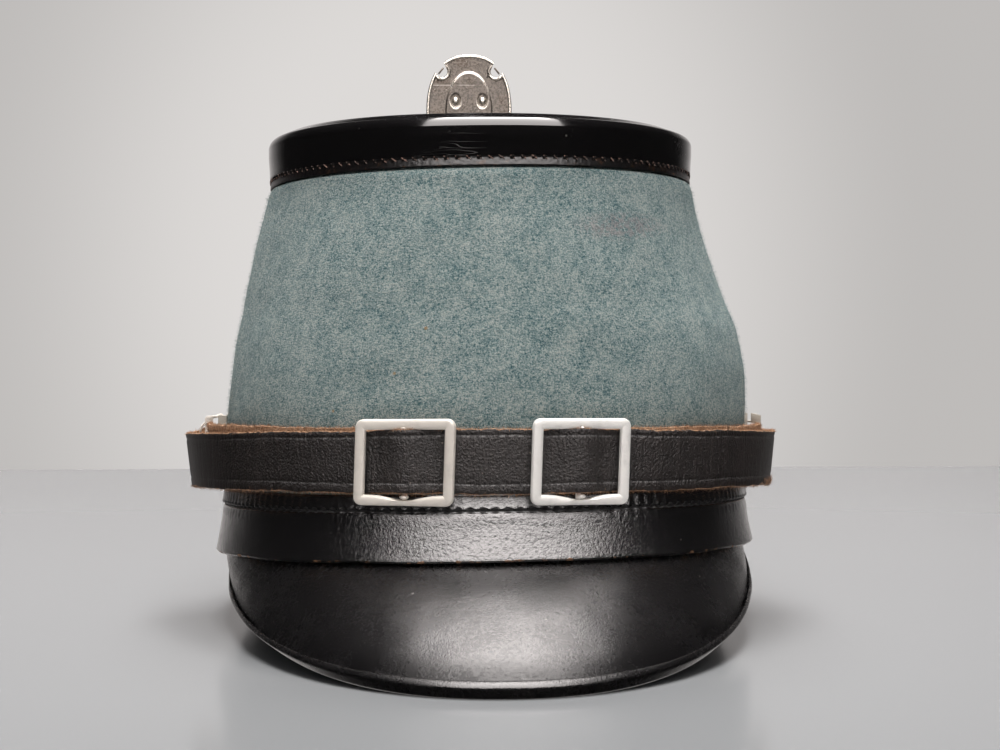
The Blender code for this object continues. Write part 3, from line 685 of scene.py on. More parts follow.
@shader_group("Edge wear", Edge=0.0, Size=250.0, Reach=0.5)
def edge_wear(desk, vector, edge, size, reach):
    """Patchy mask that grows towards marked edges."""
    patches = desk.noise(vector, size, 4.0, 0.65)
    return (desk.span(desk.total((edge, reach), patches), 0.98, 1.08),)


@shader_group("Fine scratches")
def fine_scratches(desk, vector):
    """Long thin marks in two directions."""
    masks = []
    for turn, shift in ((0.5, 0.0), (-0.9, 3.0)):
        line = desk.stretch(vector, (9.0, 340.0, 340.0), (turn, turn * 0.7, turn), (shift, 0.0, 0.0))
        field = desk.noise(line, 1.0, 1.0, 0.4)
        masks.append(desk.times(desk.span(field, 0.492, 0.498), desk.span(field, 0.502, 0.508, 1.0, 0.0)))
    return (desk.times(desk.most(*masks), desk.span(desk.noise(vector, 28.0), 0.52, 0.68)),)


# ---- finishes -----------------------------------------------------------------------------------
def felt_finish(colours):
    desk = Finish("heathered wool felt", Roughness=0.95, Sheen_Weight=0.06, Sheen_Roughness=0.45,
                  Specular_IOR_Level=0.15)
    surface = desk.first("ShaderNodeUVMap", uv_map="Surface")
    strand = desk.most(*(
        desk.noise(desk.stretch(surface, (620.0, 3600.0, 1.0), (0.0, 0.0, turn), (shift, shift, 0.0)),
                   1.0, 2.0, 0.6, 0.8)
        for turn, shift in ((0.35, 0.0), (-0.8, 1.7), (1.45, 4.1))))
    grit = desk.noise(desk.places, 1900.0, 2.0, 0.7)
    clumps = desk.noise(desk.places, 720.0, 2.0, 0.6)
    drift = desk.noise(desk.places, 130.0, 3.0, 0.6)
    tone = desk.total((strand, 0.40), (grit, 0.50), (clumps, 0.18), (drift, 0.15))
    wool = desk.ramp(tone, (0.525, colours.felt_dark), (0.62, colours.felt_mid), (0.725, colours.felt_light))
    wool = desk.mix((desk.specks(210.0, 0.03), 0.7), wool, (0.44, 0.25, 0.09))
    spot = desk.reach(desk.stretch(desk.places, (52.0, 20.0, 180.0), place=(-2.27, 1.6, -23.8)))
    near_spot = desk.span(spot, 0.35, 1.1, 0.42, 0.0)
    wool = desk.mix((near_spot, desk.span(clumps, 0.38, 0.6)), wool, (0.25, 0.145, 0.155))
    return desk.give(Base_Color=wool, Normal=desk.bumps((desk.total((strand, 0.6), (grit, 0.6)), 0.0011, 0.8)))


def fibre_finish(name, *tones, **constants):
    """Finish of loose fibres, from the darkest to the palest of these tones."""
    desk = Finish(name, Roughness=0.9, **constants)
    stops = zip(np.linspace(0.0, 1.0, len(tones)), tones)
    return desk.give(Base_Color=desk.ramp(desk.mark("tone"), *stops))


def lacquer_finish(colours):
    desk = Finish("black lacquer", Coat_Weight=1.0, Coat_Roughness=0.045, Specular_IOR_Level=0.3)
    hem = desk.mark("hem")
    scratches = desk.effect(fine_scratches)["Mask"]
    grain = desk.effect(leather_grain, Size=900.0)
    tone = desk.mix((desk.wear(hem, 420.0, 0.42), 0.2), colours.lacquer, colours.worn)
    tone = desk.mix((desk.specks(330.0, 0.022), 0.35), tone, (0.30, 0.28, 0.25))
    tone = desk.mix((scratches, 0.22), tone, (0.30, 0.29, 0.28))
    grained = desk.times(grain["Height"], desk.total(hem, 0.04))
    normal = desk.bumps((desk.noise(desk.places, 55.0, 2.0, 0.4), 0.0005, 0.3), (grained, 0.00014, 0.7))
    return desk.give(
        Base_Color=tone, Normal=normal, Coat_Normal=normal,
        Roughness=desk.total((grain["Mottle"], 0.10), 0.06, (scratches, 0.3), (hem, 0.22), clamp=True),
        Coat_Weight=desk.total((hem, -0.36), 0.51, (scratches, -0.6), clamp=True))


def band_finish(colours):
    desk = Finish("polished band leather", Coat_Weight=0.9, Coat_Roughness=0.08)
    seam = desk.mark("seam")
    worn = desk.wear(desk.mark("edge"), 190.0, 0.45)
    grain = desk.effect(leather_grain, Size=1500.0)
    tone = desk.mix(worn, colours.band, colours.worn)
    tone = desk.mix((desk.specks(420.0, 0.02), 0.4), tone, (0.26, 0.23, 0.2))
    # Painted shade: the seam groove and its dents are darkened to near black; the same mark also makes them
    # rough and matt.
    tone = desk.mix(seam, tone, (0.002, 0.002, 0.002))
    cracks = desk.noise(desk.places, (700.0, 700.0, 1300.0), 4.0, 0.7, 0.4)
    matt = desk.most(seam, worn, desk.span(cracks, 0.38, 0.46, 0.75, 0.0))
    ripples = desk.noise(desk.places, (110.0, 110.0, 900.0), 4.0, 0.65, 0.3)
    crush = desk.noise(desk.places, 900.0, 4.0, 0.7)
    normal = desk.bumps((ripples, 0.00016, 0.6), (crush, 0.00030, 0.7), (grain["Height"], 0.00010, 0.6))
    return desk.give(
        Base_Color=tone, Normal=normal, Coat_Normal=normal,
        Roughness=desk.total((grain["Mottle"], 0.12), 0.14, (seam, 0.5), (worn, 0.4), clamp=True),
        Coat_Weight=desk.math("SUBTRACT", 0.95, matt, True))


def peak_finish(colours):
    desk = Finish("peak leather", Coat_Weight=0.6, Coat_Roughness=0.26, Specular_IOR_Level=0.2)
    grain = desk.effect(leather_grain, Size=2100.0)
    tone = desk.mix(desk.wear(desk.mark("edge"), 120.0, 0.27), shaded(colours.band, 0.5), colours.worn)
    tone = desk.mix((desk.specks(260.0, 0.03), 0.45), tone, (0.34, 0.31, 0.29))
    tone = desk.mix((desk.effect(fine_scratches)["Mask"], 0.10), tone, (0.2, 0.19, 0.18))
    cloud = desk.noise(desk.places, 60.0)
    speckle = desk.noise(desk.places, 850.0, 4.0, 0.75)
    mottle = desk.total((cloud, 0.45), (speckle, 0.55))
    gloss = desk.total(desk.span(mottle, 0.36, 0.66, 1.0, 0.68), (desk.mark("dull"), -0.8))
    normal = desk.bumps((cloud, 0.0002, 0.15), (grain["Height"], 0.00007, 0.6), (speckle, 0.00014, 0.6))
    return desk.give(Base_Color=tone, Normal=normal, Coat_Normal=normal, Coat_Weight=desk.most(gloss, 0.0),
                     Roughness=desk.span(mottle, 0.36, 0.66, 0.17, 0.36))


def strap_finish(colours):
    desk = Finish("worn strap leather", Specular_IOR_Level=0.35)
    flesh = desk.mark("flesh")
    grain = desk.effect(leather_grain, Size=1500.0)
    surface = desk.first("ShaderNodeUVMap", uv_map="Surface")
    wrinkle = desk.noise(surface, (330.0, 1250.0, 1.0), 4.0, 0.65, 0.3)
    streak = desk.noise(desk.places, (680.0, 680.0, 70.0), 4.0, 0.68)
    crumple = desk.noise(desk.places, 1900.0, 4.0, 0.75)
    shade = desk.total((streak, 0.4), (grain["Mottle"], 0.2), (crumple, 0.4))
    tone = desk.ramp(shade, (0.36, shaded(colours.strap, 0.35)), (0.52, colours.strap),
                     (0.68, shaded(colours.strap, 3.0)))
    glint = desk.times(desk.mark("glint"), desk.span(streak, 0.42, 0.6))
    tone = desk.mix((glint, 0.8), tone, (0.30, 0.29, 0.285))
    raw = desk.ramp(desk.noise(desk.places, 950.0, 4.0, 0.75), (0.34, shaded(colours.flesh, 0.2)),
                    (0.52, colours.flesh), (0.70, (0.52, 0.42, 0.32)))
    tone = desk.mix(desk.most(desk.wear(desk.mark("edge"), 260.0, 0.62), flesh), tone, raw)
    tone = desk.mix((desk.specks(420.0, 0.055), 0.45), tone, (0.40, 0.34, 0.28))
    sideways = desk.math("ABSOLUTE", desk.split(desk.places)[0])
    creased = desk.times(crumple, desk.span(sideways, 0.03, 0.06, 1.0, 0.4))
    normal = desk.bumps((desk.total(streak, wrinkle), 0.0006, 0.7), (creased, 0.00038, 0.7),
                        (grain["Height"], 0.0003, 0.7))
    return desk.give(Base_Color=tone, Normal=normal,
                     Roughness=desk.total((streak, 0.25), 0.27, (flesh, 0.4), clamp=True))


def nickel_finish(name, tone):
    desk = Finish(name, Metallic=0.1)
    blotch = desk.noise(desk.places, 160.0, 3.0, 0.6)
    tone = desk.mix(desk.span(blotch, 0.45, 0.75), tone, shaded(tone, 0.86))
    tone = desk.mix((desk.specks(380.0, 0.035), 0.4), tone, (0.35, 0.25, 0.16))
    normal = desk.bumps((desk.noise(desk.places, 900.0, 3.0, 0.6), 0.00008, 0.5))
    return desk.give(Base_Color=tone, Roughness=desk.total((blotch, 0.2), 0.36), Normal=normal)


def plate_finish(colours):
    desk = Finish("tarnished white metal", Metallic=0.85)
    rim = desk.mark("rim")
    tarnish = desk.noise(desk.places, 1500.0, 4.0, 0.75)
    stain = desk.noise(desk.places, 110.0, 3.0, 0.6)
    dull = desk.mix(desk.span(stain, 0.4, 0.65), (0.060, 0.054, 0.049), (0.046, 0.034, 0.026))
    clear = desk.math("SUBTRACT", desk.span(tarnish, 0.40, 0.62), rim, True)
    tone = desk.mix(clear, colours.plate, dull)
    tone = desk.mix((desk.specks(900.0, 0.3), 0.5), tone, (0.62, 0.6, 0.57))
    # The rim mark lightens rubbed metal on the rolled rim and the rivets, and also paints highlights on the
    # arch's bevel and the dimples' lower rims.
    tone = desk.mix(rim, tone, (0.55, 0.51, 0.455))
    off = desk.reach(desk.stretch(desk.places, (0.0, 0.0, 1.0), place=(0.0, 0.0, -BADGE_SCORE * MM)))
    score = desk.times(desk.span(off, 0.00004, 0.00014, 0.34, 0.0), desk.span(stain, 0.44, 0.52))
    bright = desk.most(score, desk.times(desk.effect(fine_scratches)["Mask"], 0.4))
    return desk.give(Base_Color=desk.mix(bright, tone, (0.7, 0.68, 0.65)),
                     Roughness=desk.total((tarnish, 0.35), 0.16, (rim, -0.12), clamp=True),
                     Normal=desk.bumps((tarnish, 0.00012, 0.6)))


def thread_finish(name, dark, light):
    desk = Finish(name, Roughness=0.7, Sheen_Weight=0.2)
    tone = desk.mix(desk.span(desk.noise(desk.places, 210.0), 0.42, 0.62), dark, light)
    return desk.give(Base_Color=tone, Normal=desk.bumps((desk.noise(desk.places, 2600.0), 0.0002, 0.6)))


def hole_finish():
    desk = Finish("stitch holes", Roughness=0.85, Specular_IOR_Level=0.1)
    return desk.give(Base_Color=desk.mix(desk.noise(desk.places, 900.0), (0.002, 0.002, 0.002),
                                         (0.008, 0.006, 0.005)))


# ---- geometry node trees -------------------------------------------------------------------------
def add_pattern(name, host, tree, finish, slot, **values):
    """Run a node tree on a host object and link the plain mesh that it leaves as a piece."""
    modifier = host.modifiers.new("pattern", "NODES")
    modifier.node_group = tree
    values["Material"] = finish
    for item in tree.interface.items_tree:
        if item.in_out == "INPUT" and item.name in values:
            modifier[item.identifier] = values[item.name]
    add_piece(name, plain_copy(host, name), finish, slot)


def random_value(desk, low, high, seed):
    feeds = {2: low, 3: high, "Seed": seed}
    return desk.add("FunctionNodeRandomValue", feeds, data_type="FLOAT").outputs[1]


def vector(desk, **axes):
    return desk.first("ShaderNodeCombineXYZ", axes)


def turned(desk, rotation, **axes):
    """Rotation turned further about its own axes."""
    feeds = {"Rotation": rotation, "Rotate By": vector(desk, **axes)}
    return desk.first("FunctionNodeRotateRotation", feeds, rotation_space="LOCAL")


def leave_real(desk, leave, instances, material, smooth=False):
    """End a tree by making its instances real and giving them their material."""
    mesh = desk.first("GeometryNodeRealizeInstances", {0: instances})
    if smooth:
        mesh = desk.first("GeometryNodeSetShadeSmooth", {"Geometry": mesh})
    done = desk.first("GeometryNodeSetMaterial", {"Geometry": mesh, "Material": material})
    desk.feed(leave.inputs[0], done)


@built_once("Loose fibres")
def fibre_tree(name):
    """Short bent ribbons lying loosely on a surface, each with its own tone."""
    inputs = (("Surface", "Geometry"), ("Density", "Float", 1000.0), ("Length", "Float", 0.0015),
              ("Width", "Float", 0.00006), ("Lift", "Float", 0.5), ("Seed", "Int", 0),
              ("Material", "Material"))
    tree, desk, entry, leave = node_group(name, "GeometryNodeTree", inputs, (("Fibres", "Geometry"),))
    long = entry["Length"]
    shows = desk.first("GeometryNodeInputNamedAttribute", {"Name": "shows"}, data_type="FLOAT")
    spread = desk.add("GeometryNodeDistributePointsOnFaces", {
        "Mesh": entry["Surface"], "Density": desk.times(entry["Density"], shows), "Seed": entry["Seed"]}).outputs
    ribbon = desk.first("GeometryNodeMeshGrid", {"Size X": long, "Size Y": entry["Width"],
                                                 "Vertices X": 3, "Vertices Y": 2})
    share = desk.math("DIVIDE", desk.split(desk.first("GeometryNodeInputPosition"))[0], long)
    arch = desk.times(desk.math("SUBTRACT", 0.25, desk.times(share, share)), long, 0.9)
    raised = vector(desk, X=desk.times(long, 0.45), Z=arch)
    bent = desk.first("GeometryNodeSetPosition", {"Geometry": ribbon, "Offset": raised})
    spun = turned(desk, spread["Rotation"], Z=random_value(desk, 0.0, 2.0 * math.pi, 1))
    tilt = desk.times(random_value(desk, 0.08, entry["Lift"], 2), -1.0)
    placed = desk.first("GeometryNodeInstanceOnPoints", {
        "Points": spread["Points"], "Instance": bent, "Rotation": turned(desk, spun, Y=tilt),
        "Scale": random_value(desk, 0.45, 1.25, 3)})
    toned = desk.first("GeometryNodeStoreNamedAttribute",
                       {"Geometry": placed, "Name": "tone", "Value": random_value(desk, 0.0, 1.0, 4)},
                       data_type="FLOAT", domain="INSTANCE")
    leave_real(desk, leave, toned, entry["Material"])
    return tree


@built_once("Stitch row")
def stitch_tree(name):
    """Rounded stitches at an even pitch along a line whose points know their outward side."""
    inputs = (("Line", "Geometry"), ("Pitch", "Float", 0.0034), ("Length", "Float", 0.0024),
              ("Width", "Float", 0.0005), ("Slant", "Float", 0.4), ("Sink", "Float", 0.0), ("Seed", "Int", 0),
              ("Material", "Material"))
    tree, desk, entry, leave = node_group(name, "GeometryNodeTree", inputs, (("Stitches", "Geometry"),))
    seed, wide = entry["Seed"], entry["Width"]
    curve = desk.first("GeometryNodeMeshToCurve", {"Mesh": entry["Line"]})
    even = desk.first("GeometryNodeResampleCurve", {"Curve": curve, "Length": entry["Pitch"]}, mode="LENGTH")
    outward = desk.first("GeometryNodeInputNamedAttribute", {"Name": "outward"}, data_type="FLOAT_VECTOR")
    run = desk.first("GeometryNodeInputTangent")
    way = desk.first("FunctionNodeAxesToRotation", {"Primary Axis": outward, "Secondary Axis": run},
                     primary_axis="Z", secondary_axis="X")
    slant = desk.total(entry["Slant"], random_value(desk, -0.14, 0.14, seed))
    bead = desk.first("GeometryNodeMeshUVSphere", {"Segments": 8, "Rings": 6, "Radius": 0.5})
    shape = vector(desk, X=entry["Length"], Y=wide, Z=wide)
    long_bead = desk.first("GeometryNodeTransform", {"Geometry": bead, "Scale": shape})
    sunk = desk.first("ShaderNodeVectorMath", {0: outward, "Scale": desk.times(entry["Sink"], -1.0)},
                      operation="SCALE")
    moved = desk.first("GeometryNodeSetPosition", {"Geometry": even, "Offset": sunk})
    placed = desk.first("GeometryNodeInstanceOnPoints", {
        "Points": moved, "Instance": long_bead, "Rotation": turned(desk, way, Z=slant),
        "Scale": random_value(desk, 0.82, 1.12, seed)})
    leave_real(desk, leave, placed, entry["Material"], smooth=True)
    return tree


def line_host(points, outward, loops=True):
    """Line of points in millimetres that carries its outward side."""
    mesh = bpy.data.meshes.new("line")
    count = len(points)
    edges = [(i, (i + 1) % count) for i in range(count if loops else count - 1)]
    mesh.from_pydata(((points + HAT_MIDDLE) * MM).tolist(), edges, [])
    layer = mesh.attributes.new("outward", "FLOAT_VECTOR", "POINT")
    layer.data.foreach_set("vector", outward.astype(np.float32).ravel())
    return linked("line", mesh)


def ring_outward(ring):
    """Level outward directions round a ring."""
    run = unit(np.roll(ring, -1, axis=0) - np.roll(ring, 1, axis=0))
    return unit(np.cross(run, (0.0, 0.0, 1.0)))


# ---- pieces --------------------------------------------------------------------------------------
def make_felt(sizes, colours):
    """Felt crown with its slight swells, and the loose fibres that stand on it."""
    low, high = CROWN_SECTIONS[-1][0], CROWN_SECTIONS[0][0]
    shoulder = (144.2, 144.5, 144.65, 144.8, 144.92, 145.0)
    heights = np.concatenate((np.linspace(low, 139.0, 88), np.linspace(140.0, 143.6, 5), shoulder,
                              np.linspace(147.0, high, 6)))
    rows = crown_rows(heights)
    plain = oval_grid(rows, FELT_AROUND)
    shows = soft_step(FELT_FOOT - 6.0, FELT_FOOT, heights) * soft_step(*LID_COVERS, heights)
    outer = oval_grid(rows, FELT_AROUND, -ripples(plain, FELT_SWELLS) * shows[:, None])
    inner_heights = np.concatenate((np.linspace(high, 143.0, 3), np.linspace(138.0, low, 14)))
    inner = oval_grid(crown_rows(inner_heights), FELT_AROUND, FELT_WALL)
    shows = np.concatenate((shows, np.zeros(len(inner))))
    mesh = skin_mesh("felt_crown", np.concatenate((outer, inner)), True, {"shows": shows[:, None]})
    add_piece("felt_crown", mesh, felt_finish(colours), "felt", "crown_body")
    fibres = fibre_finish("loose wool fibres", colours.felt_dark, colours.felt_mid, colours.felt_light,
                          Sheen_Weight=0.05)
    add_pattern("felt_fibres", linked("fibre_host", mesh.copy()), fibre_tree(), fibres, "felt",
                Density=sizes.fibre_density, Length=sizes.fibre_length, Width=sizes.fibre_width, Lift=0.75,
                Seed=sizes.seed)


def lid_rows(rows):
    """Section rows of the lid from rows of its profile."""
    outline = np.tile(LID_OUTLINE, (len(rows), 1))
    return np.column_stack((LID_TOP - rows[:, 1], outline, rows[:, 2:]))


def disc_rings(ring, shares):
    """Rings that fill a ring, each at its share of the way out from the middle."""
    middle = ring.mean(axis=0)
    return np.stack([middle + (ring - middle) * share for share in shares])


def make_lid(sizes, colours):
    """Lacquered leather lid: flat disc, rolled rim, skirt and stitched hem."""
    fine, inside = drawn_out(LID_PROFILE, 106), drawn_out(LID_INSIDE, 22)
    outer = oval_grid(lid_rows(fine), LID_AROUND, fine[:, :1])
    skirt = soft_step(2.0, 6.0, fine[:, 1:2])
    outer = oval_grid(lid_rows(fine), LID_AROUND, fine[:, :1] - ripple(outer, 34.0, 11) * 0.03 * skirt)
    inner = oval_grid(lid_rows(inside), LID_AROUND, inside[:, :1])
    disc = disc_rings(outer[0], (0.04, 0.2, 0.4, 0.6, 0.75, 0.88, 0.95))
    disc[..., 2] += ripple(disc, 60.0, 12) * 0.12
    under = disc_rings(inner[-1], (0.8, 0.5, 0.2, 0.04))
    hem = np.concatenate((np.zeros(len(disc)), soft_step(14.1, 15.0, fine[:, 1]),
                          np.ones(len(inner)), np.zeros(len(under))))
    mesh = skin_mesh("lacquered_lid", np.concatenate((disc, outer, inner, under)), marks={"hem": hem[:, None]})
    add_piece("lacquered_lid", mesh, lacquer_finish(colours), "lacquer", "crown_top")

    inset, drop, *leans = LID_STITCH
    ring = oval_grid([(LID_TOP - drop, *LID_OUTLINE, *leans)], 420, inset)[0]
    thread = thread_finish("waxed brown thread", colours.thread, shaded(colours.thread, 4.0))
    for name, lowered, finish, values in (
            ("lid_stitch_holes", 0.0, hole_finish(),
             {"Length": 0.0021, "Width": 0.00145, "Slant": 0.75, "Sink": 0.00032, "Seed": sizes.seed}),
            ("lid_stitches", 0.1, thread, {"Length": 0.0023, "Width": sizes.thread_width, "Slant": -0.7,
                                           "Sink": -0.00012, "Seed": sizes.seed + 1})):
        host = line_host(ring - (0.0, 0.0, lowered), ring_outward(ring))
        add_pattern(name, host, stitch_tree(), finish, "lacquer", Pitch=sizes.lid_pitch, **values)


def band_rows(drops):
    """Section rows of the felt behind the band at these drops from its lip."""
    rows = crown_rows(BAND_TOP - np.asarray(drops, float))
    profile = np.array(BAND_PROFILE)
    rows[:, 5:7] = follow(profile[:, 0], profile[:, 2:4], drops)
    return rows


def make_band(sizes, colours):
    """Leather band: puckered lip, stitched groove and flared face."""
    profile = np.array(BAND_PROFILE)
    foot = profile[-1, 0]
    drops = np.concatenate((np.linspace(0.0, 5.1, 35), np.linspace(5.6, foot, 28)))
    down = drops[:, None]
    rows = band_rows(drops)
    proud = GAP + BAND_WALL + follow(profile[:, 0], profile[:, 1], drops)
    plain = oval_grid(rows, BAND_AROUND, -proud)
    seam_points = plain[SEAM_ROW]
    seam_line = travel(closed(seam_points))
    pitch = sizes.band_pitch / MM
    pitches = seam_line[:-1] / (seam_line[-1] / round(seam_line[-1] / pitch))
    pull = 0.5 + 0.5 * np.cos(2.0 * math.pi * pitches + math.pi)
    depth = sizes.pucker / MM * (0.75 + 0.5 * ripple(seam_points[None], 30.0, 21)[0])
    lip = soft_step(3.6, 2.4, down) * soft_step(0.0, 0.6, down)
    under = soft_step(4.2, 5.4, down) * soft_step(8.6, 5.4, down)
    folds = (lip * 0.8 + under * 0.3) * pull * depth
    spread = np.hypot((pitches - np.round(pitches)) * pitch, (down - BAND_SEAM + 0.25) * 1.15)
    dents = DENT_DEPTH * soft_step(DENT_RADIUS, DENT_RADIUS * 0.45, spread)
    waves = ripple(plain * (1.0, 1.0, 2.0), 30.0, 22) * 0.05 * soft_step(5.0, 8.0, down)
    facing = np.clip(seam_points[:, 1] / seam_points[:, 1].min(), 0.0, 1.0)
    flare = NEAR_FLARE * np.maximum(down - BAND_SEAM - 0.4, 0.0) / 12.4 * facing
    outer = oval_grid(rows, BAND_AROUND, -(proud + folds - dents + waves + flare))
    outer[..., 2] += LIP_CLIMB * soft_step(2.6, 0.0, down) * (0.75 + 0.25 * soft_step(0.82, 0.55, facing))
    outer[..., 2] += ripple(plain[-1][None], 26.0, 24) * 0.12 * soft_step(12.0, foot, down)
    inner = oval_grid(band_rows((foot, 14.0, 9.0, 4.5, 0.0)), BAND_AROUND, -GAP)
    inner[-1, :, 2] = outer[0, :, 2]
    edge = np.concatenate((soft_step(foot - 1.8, foot - 0.5, drops), (1.0, 0.4, 0.0, 0.0, 0.3)))
    # The seam mark covers the stitched groove and the dents; the finish paints them as shade and also makes them
    # rough and matt.
    groove = 0.8 * np.exp(-((down - BAND_SEAM - 0.1) / 0.28) ** 2)
    seam = np.concatenate((np.maximum(groove, dents / DENT_DEPTH), np.zeros(inner.shape[:2])))
    mesh = skin_mesh("leather_band", np.concatenate((outer, inner)), True,
                     {"edge": edge[:, None], "seam": seam})
    add_piece("leather_band", mesh, band_finish(colours), "band_leather", "base_band")

    ring = oval_grid(band_rows((BAND_SEAM,)), BAND_AROUND, -(GAP + BAND_WALL + 0.25))[0]
    azimuth = np.degrees(np.arctan2(ring[:, 0], -ring[:, 1]))
    shown = np.flatnonzero((azimuth > BAND_THREAD_SPAN[0]) & (azimuth < BAND_THREAD_SPAN[1]))
    shown = shown[np.argsort(azimuth[shown])]
    thread = thread_finish("rubbed brown thread", shaded(colours.thread, 0.5), shaded(colours.thread, 5.0))
    line = line_host(ring[shown], ring_outward(ring)[shown], False)
    add_pattern("band_stitches", line, stitch_tree(), thread, "band_leather", Pitch=sizes.band_pitch,
                Length=0.0021, Width=sizes.thread_width, Slant=-0.7, Sink=0.00022, Seed=sizes.seed + 2)


def peak_edge(peak, turn):
    """Points on the edge of a peak at these turns from its tip."""
    side, sideways, half_wide, reach, edge_height, side_rise, power, fullness = PEAKS[peak][:8]
    along, across = oval_point(turn, fullness)
    x = sideways + half_wide * across
    lifted = (1.0 - np.cos(turn)) ** power
    return place(x, side * reach * along, edge_height + side_rise * lifted + rise(x, 0.0, 0.0) * lifted)


def band_foot(side, turn, inset):
    """Points on the underside of the band at these turns from the tip."""
    drop, _, *leans = BAND_PROFILE[-1]
    height, left, right, near, far = crown_rows((BAND_TOP - drop,))[0, :5]
    along, across = oval_point(turn, OVAL_POWER)
    x = (np.where(turn > 0.0, right, left) - inset) * across
    y = side * ((near if side < 0.0 else far) - inset) * np.abs(along)
    return place(x, y, height + rise(x, y, *leans) - GAP - PEAK_SHEET / 2.0)


def peak_surface(peak):
    """Middle surface of a peak as columns of points, its depth, and the way out and up at its edge."""
    side, swell, end_turn, stations = (PEAKS[peak][k] for k in (0, 8, 9, 10))
    turns = np.radians(np.linspace(-end_turn, end_turn, 961))
    run = travel(peak_edge(peak, turns))
    turns = np.interp(np.linspace(0.0, run[-1], stations + 1), run, turns)
    margin = band_foot(side, turns, FELT_WALL - PEAK_MARGIN * np.sqrt(np.cos(turns)))
    edge = peak_edge(peak, turns)
    edge[:, 2] = np.minimum(edge[:, 2], margin[:, 2] - EDGE_DROP)
    depth = np.linalg.norm(edge - margin, axis=1)
    straight = np.minimum(EDGE_FLAT, depth * 0.5) / depth
    columns = [band_foot(side, turns, FELT_WALL)]
    for share in np.linspace(0.0, 1.0, PEAK_ROWS):
        part = (1.0 - straight) * share
        lift = swell * np.sin(math.pi * np.minimum(part / (1.0 - straight * 0.5), 1.0)) * np.cos(turns)
        columns.append(margin + (edge - margin) * part[:, None] + place(0.0, side * lift * SWELL_OUT, lift))
    grid = np.stack((*columns, edge), axis=1)
    out = unit(grid[:, -1] - grid[:, -2])
    up = unit(np.cross(np.gradient(edge, axis=0), out))
    outer_side = edge * (1.0, 1.0, 0.0) + (0.0, 0.0, PEAKS[peak][4])
    up = np.where(np.sum(up * outer_side, axis=1)[:, None] < 0.0, -up, up)
    return grid, depth, out, up


def make_peak(peak, finish):
    """Peak leather with a soft swell, from under the band to its edge, and its folded binding."""
    half = PEAK_SHEET / 2.0
    grid, depth, out, up = peak_surface(peak)
    count = grid.shape[1]
    level = np.array((0.0, 0.0, 1.0))
    normals = np.repeat(up[:, None], count, axis=1)
    normals[:, 0], normals[:, 1] = level, unit(level + up)
    fade = soft_step(0, 5, np.arange(count)) * soft_step(count - 2, count - 6, np.arange(count))
    upper = grid + normals * (half + ripples(grid, PEAK_SWELLS) * fade)[..., None]
    lower = grid - normals * half
    edge = 0.4 * np.linspace(0.0, 1.0, count) ** 4
    near_edge = soft_step(PEAK_DULL, 4.0, np.linalg.norm(upper - upper[:, -1:], axis=2))
    mesh = skin_mesh(peak + "_peak_leather", np.concatenate((upper, lower[:, ::-1]), axis=1), marks={
        "edge": np.concatenate((edge, edge[::-1])),
        "dull": np.concatenate((near_edge, near_edge[:, ::-1]), axis=1)})
    add_piece(peak + "_peak_leather", mesh, finish, "band_leather", peak + "_peak")

    slot = half + GAP
    mouth = slot + BINDING_EASE
    fold = np.concatenate((drawn_out(BINDING_FOLD, 38), (
        (-BINDING_DEPTH, -mouth), (GAP, -slot), (GAP, slot), (-BINDING_DEPTH, mouth))))
    keep = depth > BINDING_FROM
    line = grid[keep, -1]
    wave = ripple(line[None], 21.0, 35)[0, :, None] * 0.05
    full = soft_step(BINDING_FROM, BINDING_FROM + 16.0, depth[keep])[:, None]
    outward = np.where(fold[:, 0] > GAP, GAP + (fold[:, 0] - GAP) * (0.4 + 0.6 * full), fold[:, 0])
    skin = np.clip(np.abs(fold[:, 1]) - slot, 0.0, None) * np.sign(fold[:, 1])
    upward = fold[:, 1] - skin * (1.0 - full) * 0.65 + wave * np.sign(skin)
    ring = line[:, None] + out[keep, None] * outward[..., None] + up[keep, None] * upward[..., None]
    rub = soft_step(0.4, 1.0, fold[:, 0])
    mesh = skin_mesh(peak + "_peak_edge", ring[:, ::-1], marks={"edge": rub[::-1]})
    add_piece(peak + "_peak_edge", mesh, finish, "band_leather", peak + "_peak_binding")


def make_peaks(sizes, colours):
    """Near and far peak of one leather."""
    finish = peak_finish(colours)
    for peak in PEAKS:
        make_peak(peak, finish)


def outer_half_wide(side):
    return STRAP_INNER[0] + 2.0 * LOOP_RADII[side]


def half_strap(side):
    """Plan points of one half: outer layer, loop round the ring, inner layer back; and each rise."""
    bar = BUCKLE_X[0] if side < 0.0 else BUCKLE_X[1]
    angle = np.radians(OUTER_TURNS)
    x = side * outer_half_wide(side) * np.sin(angle)
    lift = BAR_LIFT * np.exp(-((x - bar) / BAR_SPREAD) ** 2)
    outer = place(x, -STRAP_OUTER_LONG * np.cos(angle))
    outer += place(np.sin(angle) * side, -np.cos(angle)) * lift[:, None]
    shares = np.linspace(0.0, 1.0, 25)
    angle, radius = math.pi * shares, LOOP_RADII[side]
    loop = place(side * (STRAP_INNER[0] + radius * (1.0 + np.cos(angle))), RING_PIN_Y + radius * np.sin(angle))
    angle = np.radians(INNER_TURNS)
    inner = place(side * STRAP_INNER[0] * np.sin(angle), -STRAP_INNER[1] * np.cos(angle))
    climb = (INNER_TURNS - RETURN_LEVEL_TURN) / (INNER_TURNS[0] - RETURN_LEVEL_TURN)
    rises = np.concatenate((np.zeros(len(outer)), STRAP_RETURN_RISE[side] * shares,
                            STRAP_RETURN_RISE[side] * np.maximum(0.0, climb)))
    plan = np.concatenate((outer, loop, inner))
    held = int(np.searchsorted(OUTER_TURNS, BUCKLE_ZONE)) + 1
    for _ in range(14):
        settled = 0.25 * plan[:-2] + 0.5 * plan[1:-1] + 0.25 * plan[2:]
        plan[held:-1] = settled[held - 1:]
    return plan, rises


def crease_rows(out, up, crease):
    """The three points of a crease line in the strap's face."""
    return [(out - crease * deep, up + shift, 0, 0) for shift, deep in ((0.3, 0.5), (0.0, 1.0), (-0.3, 0.5))]


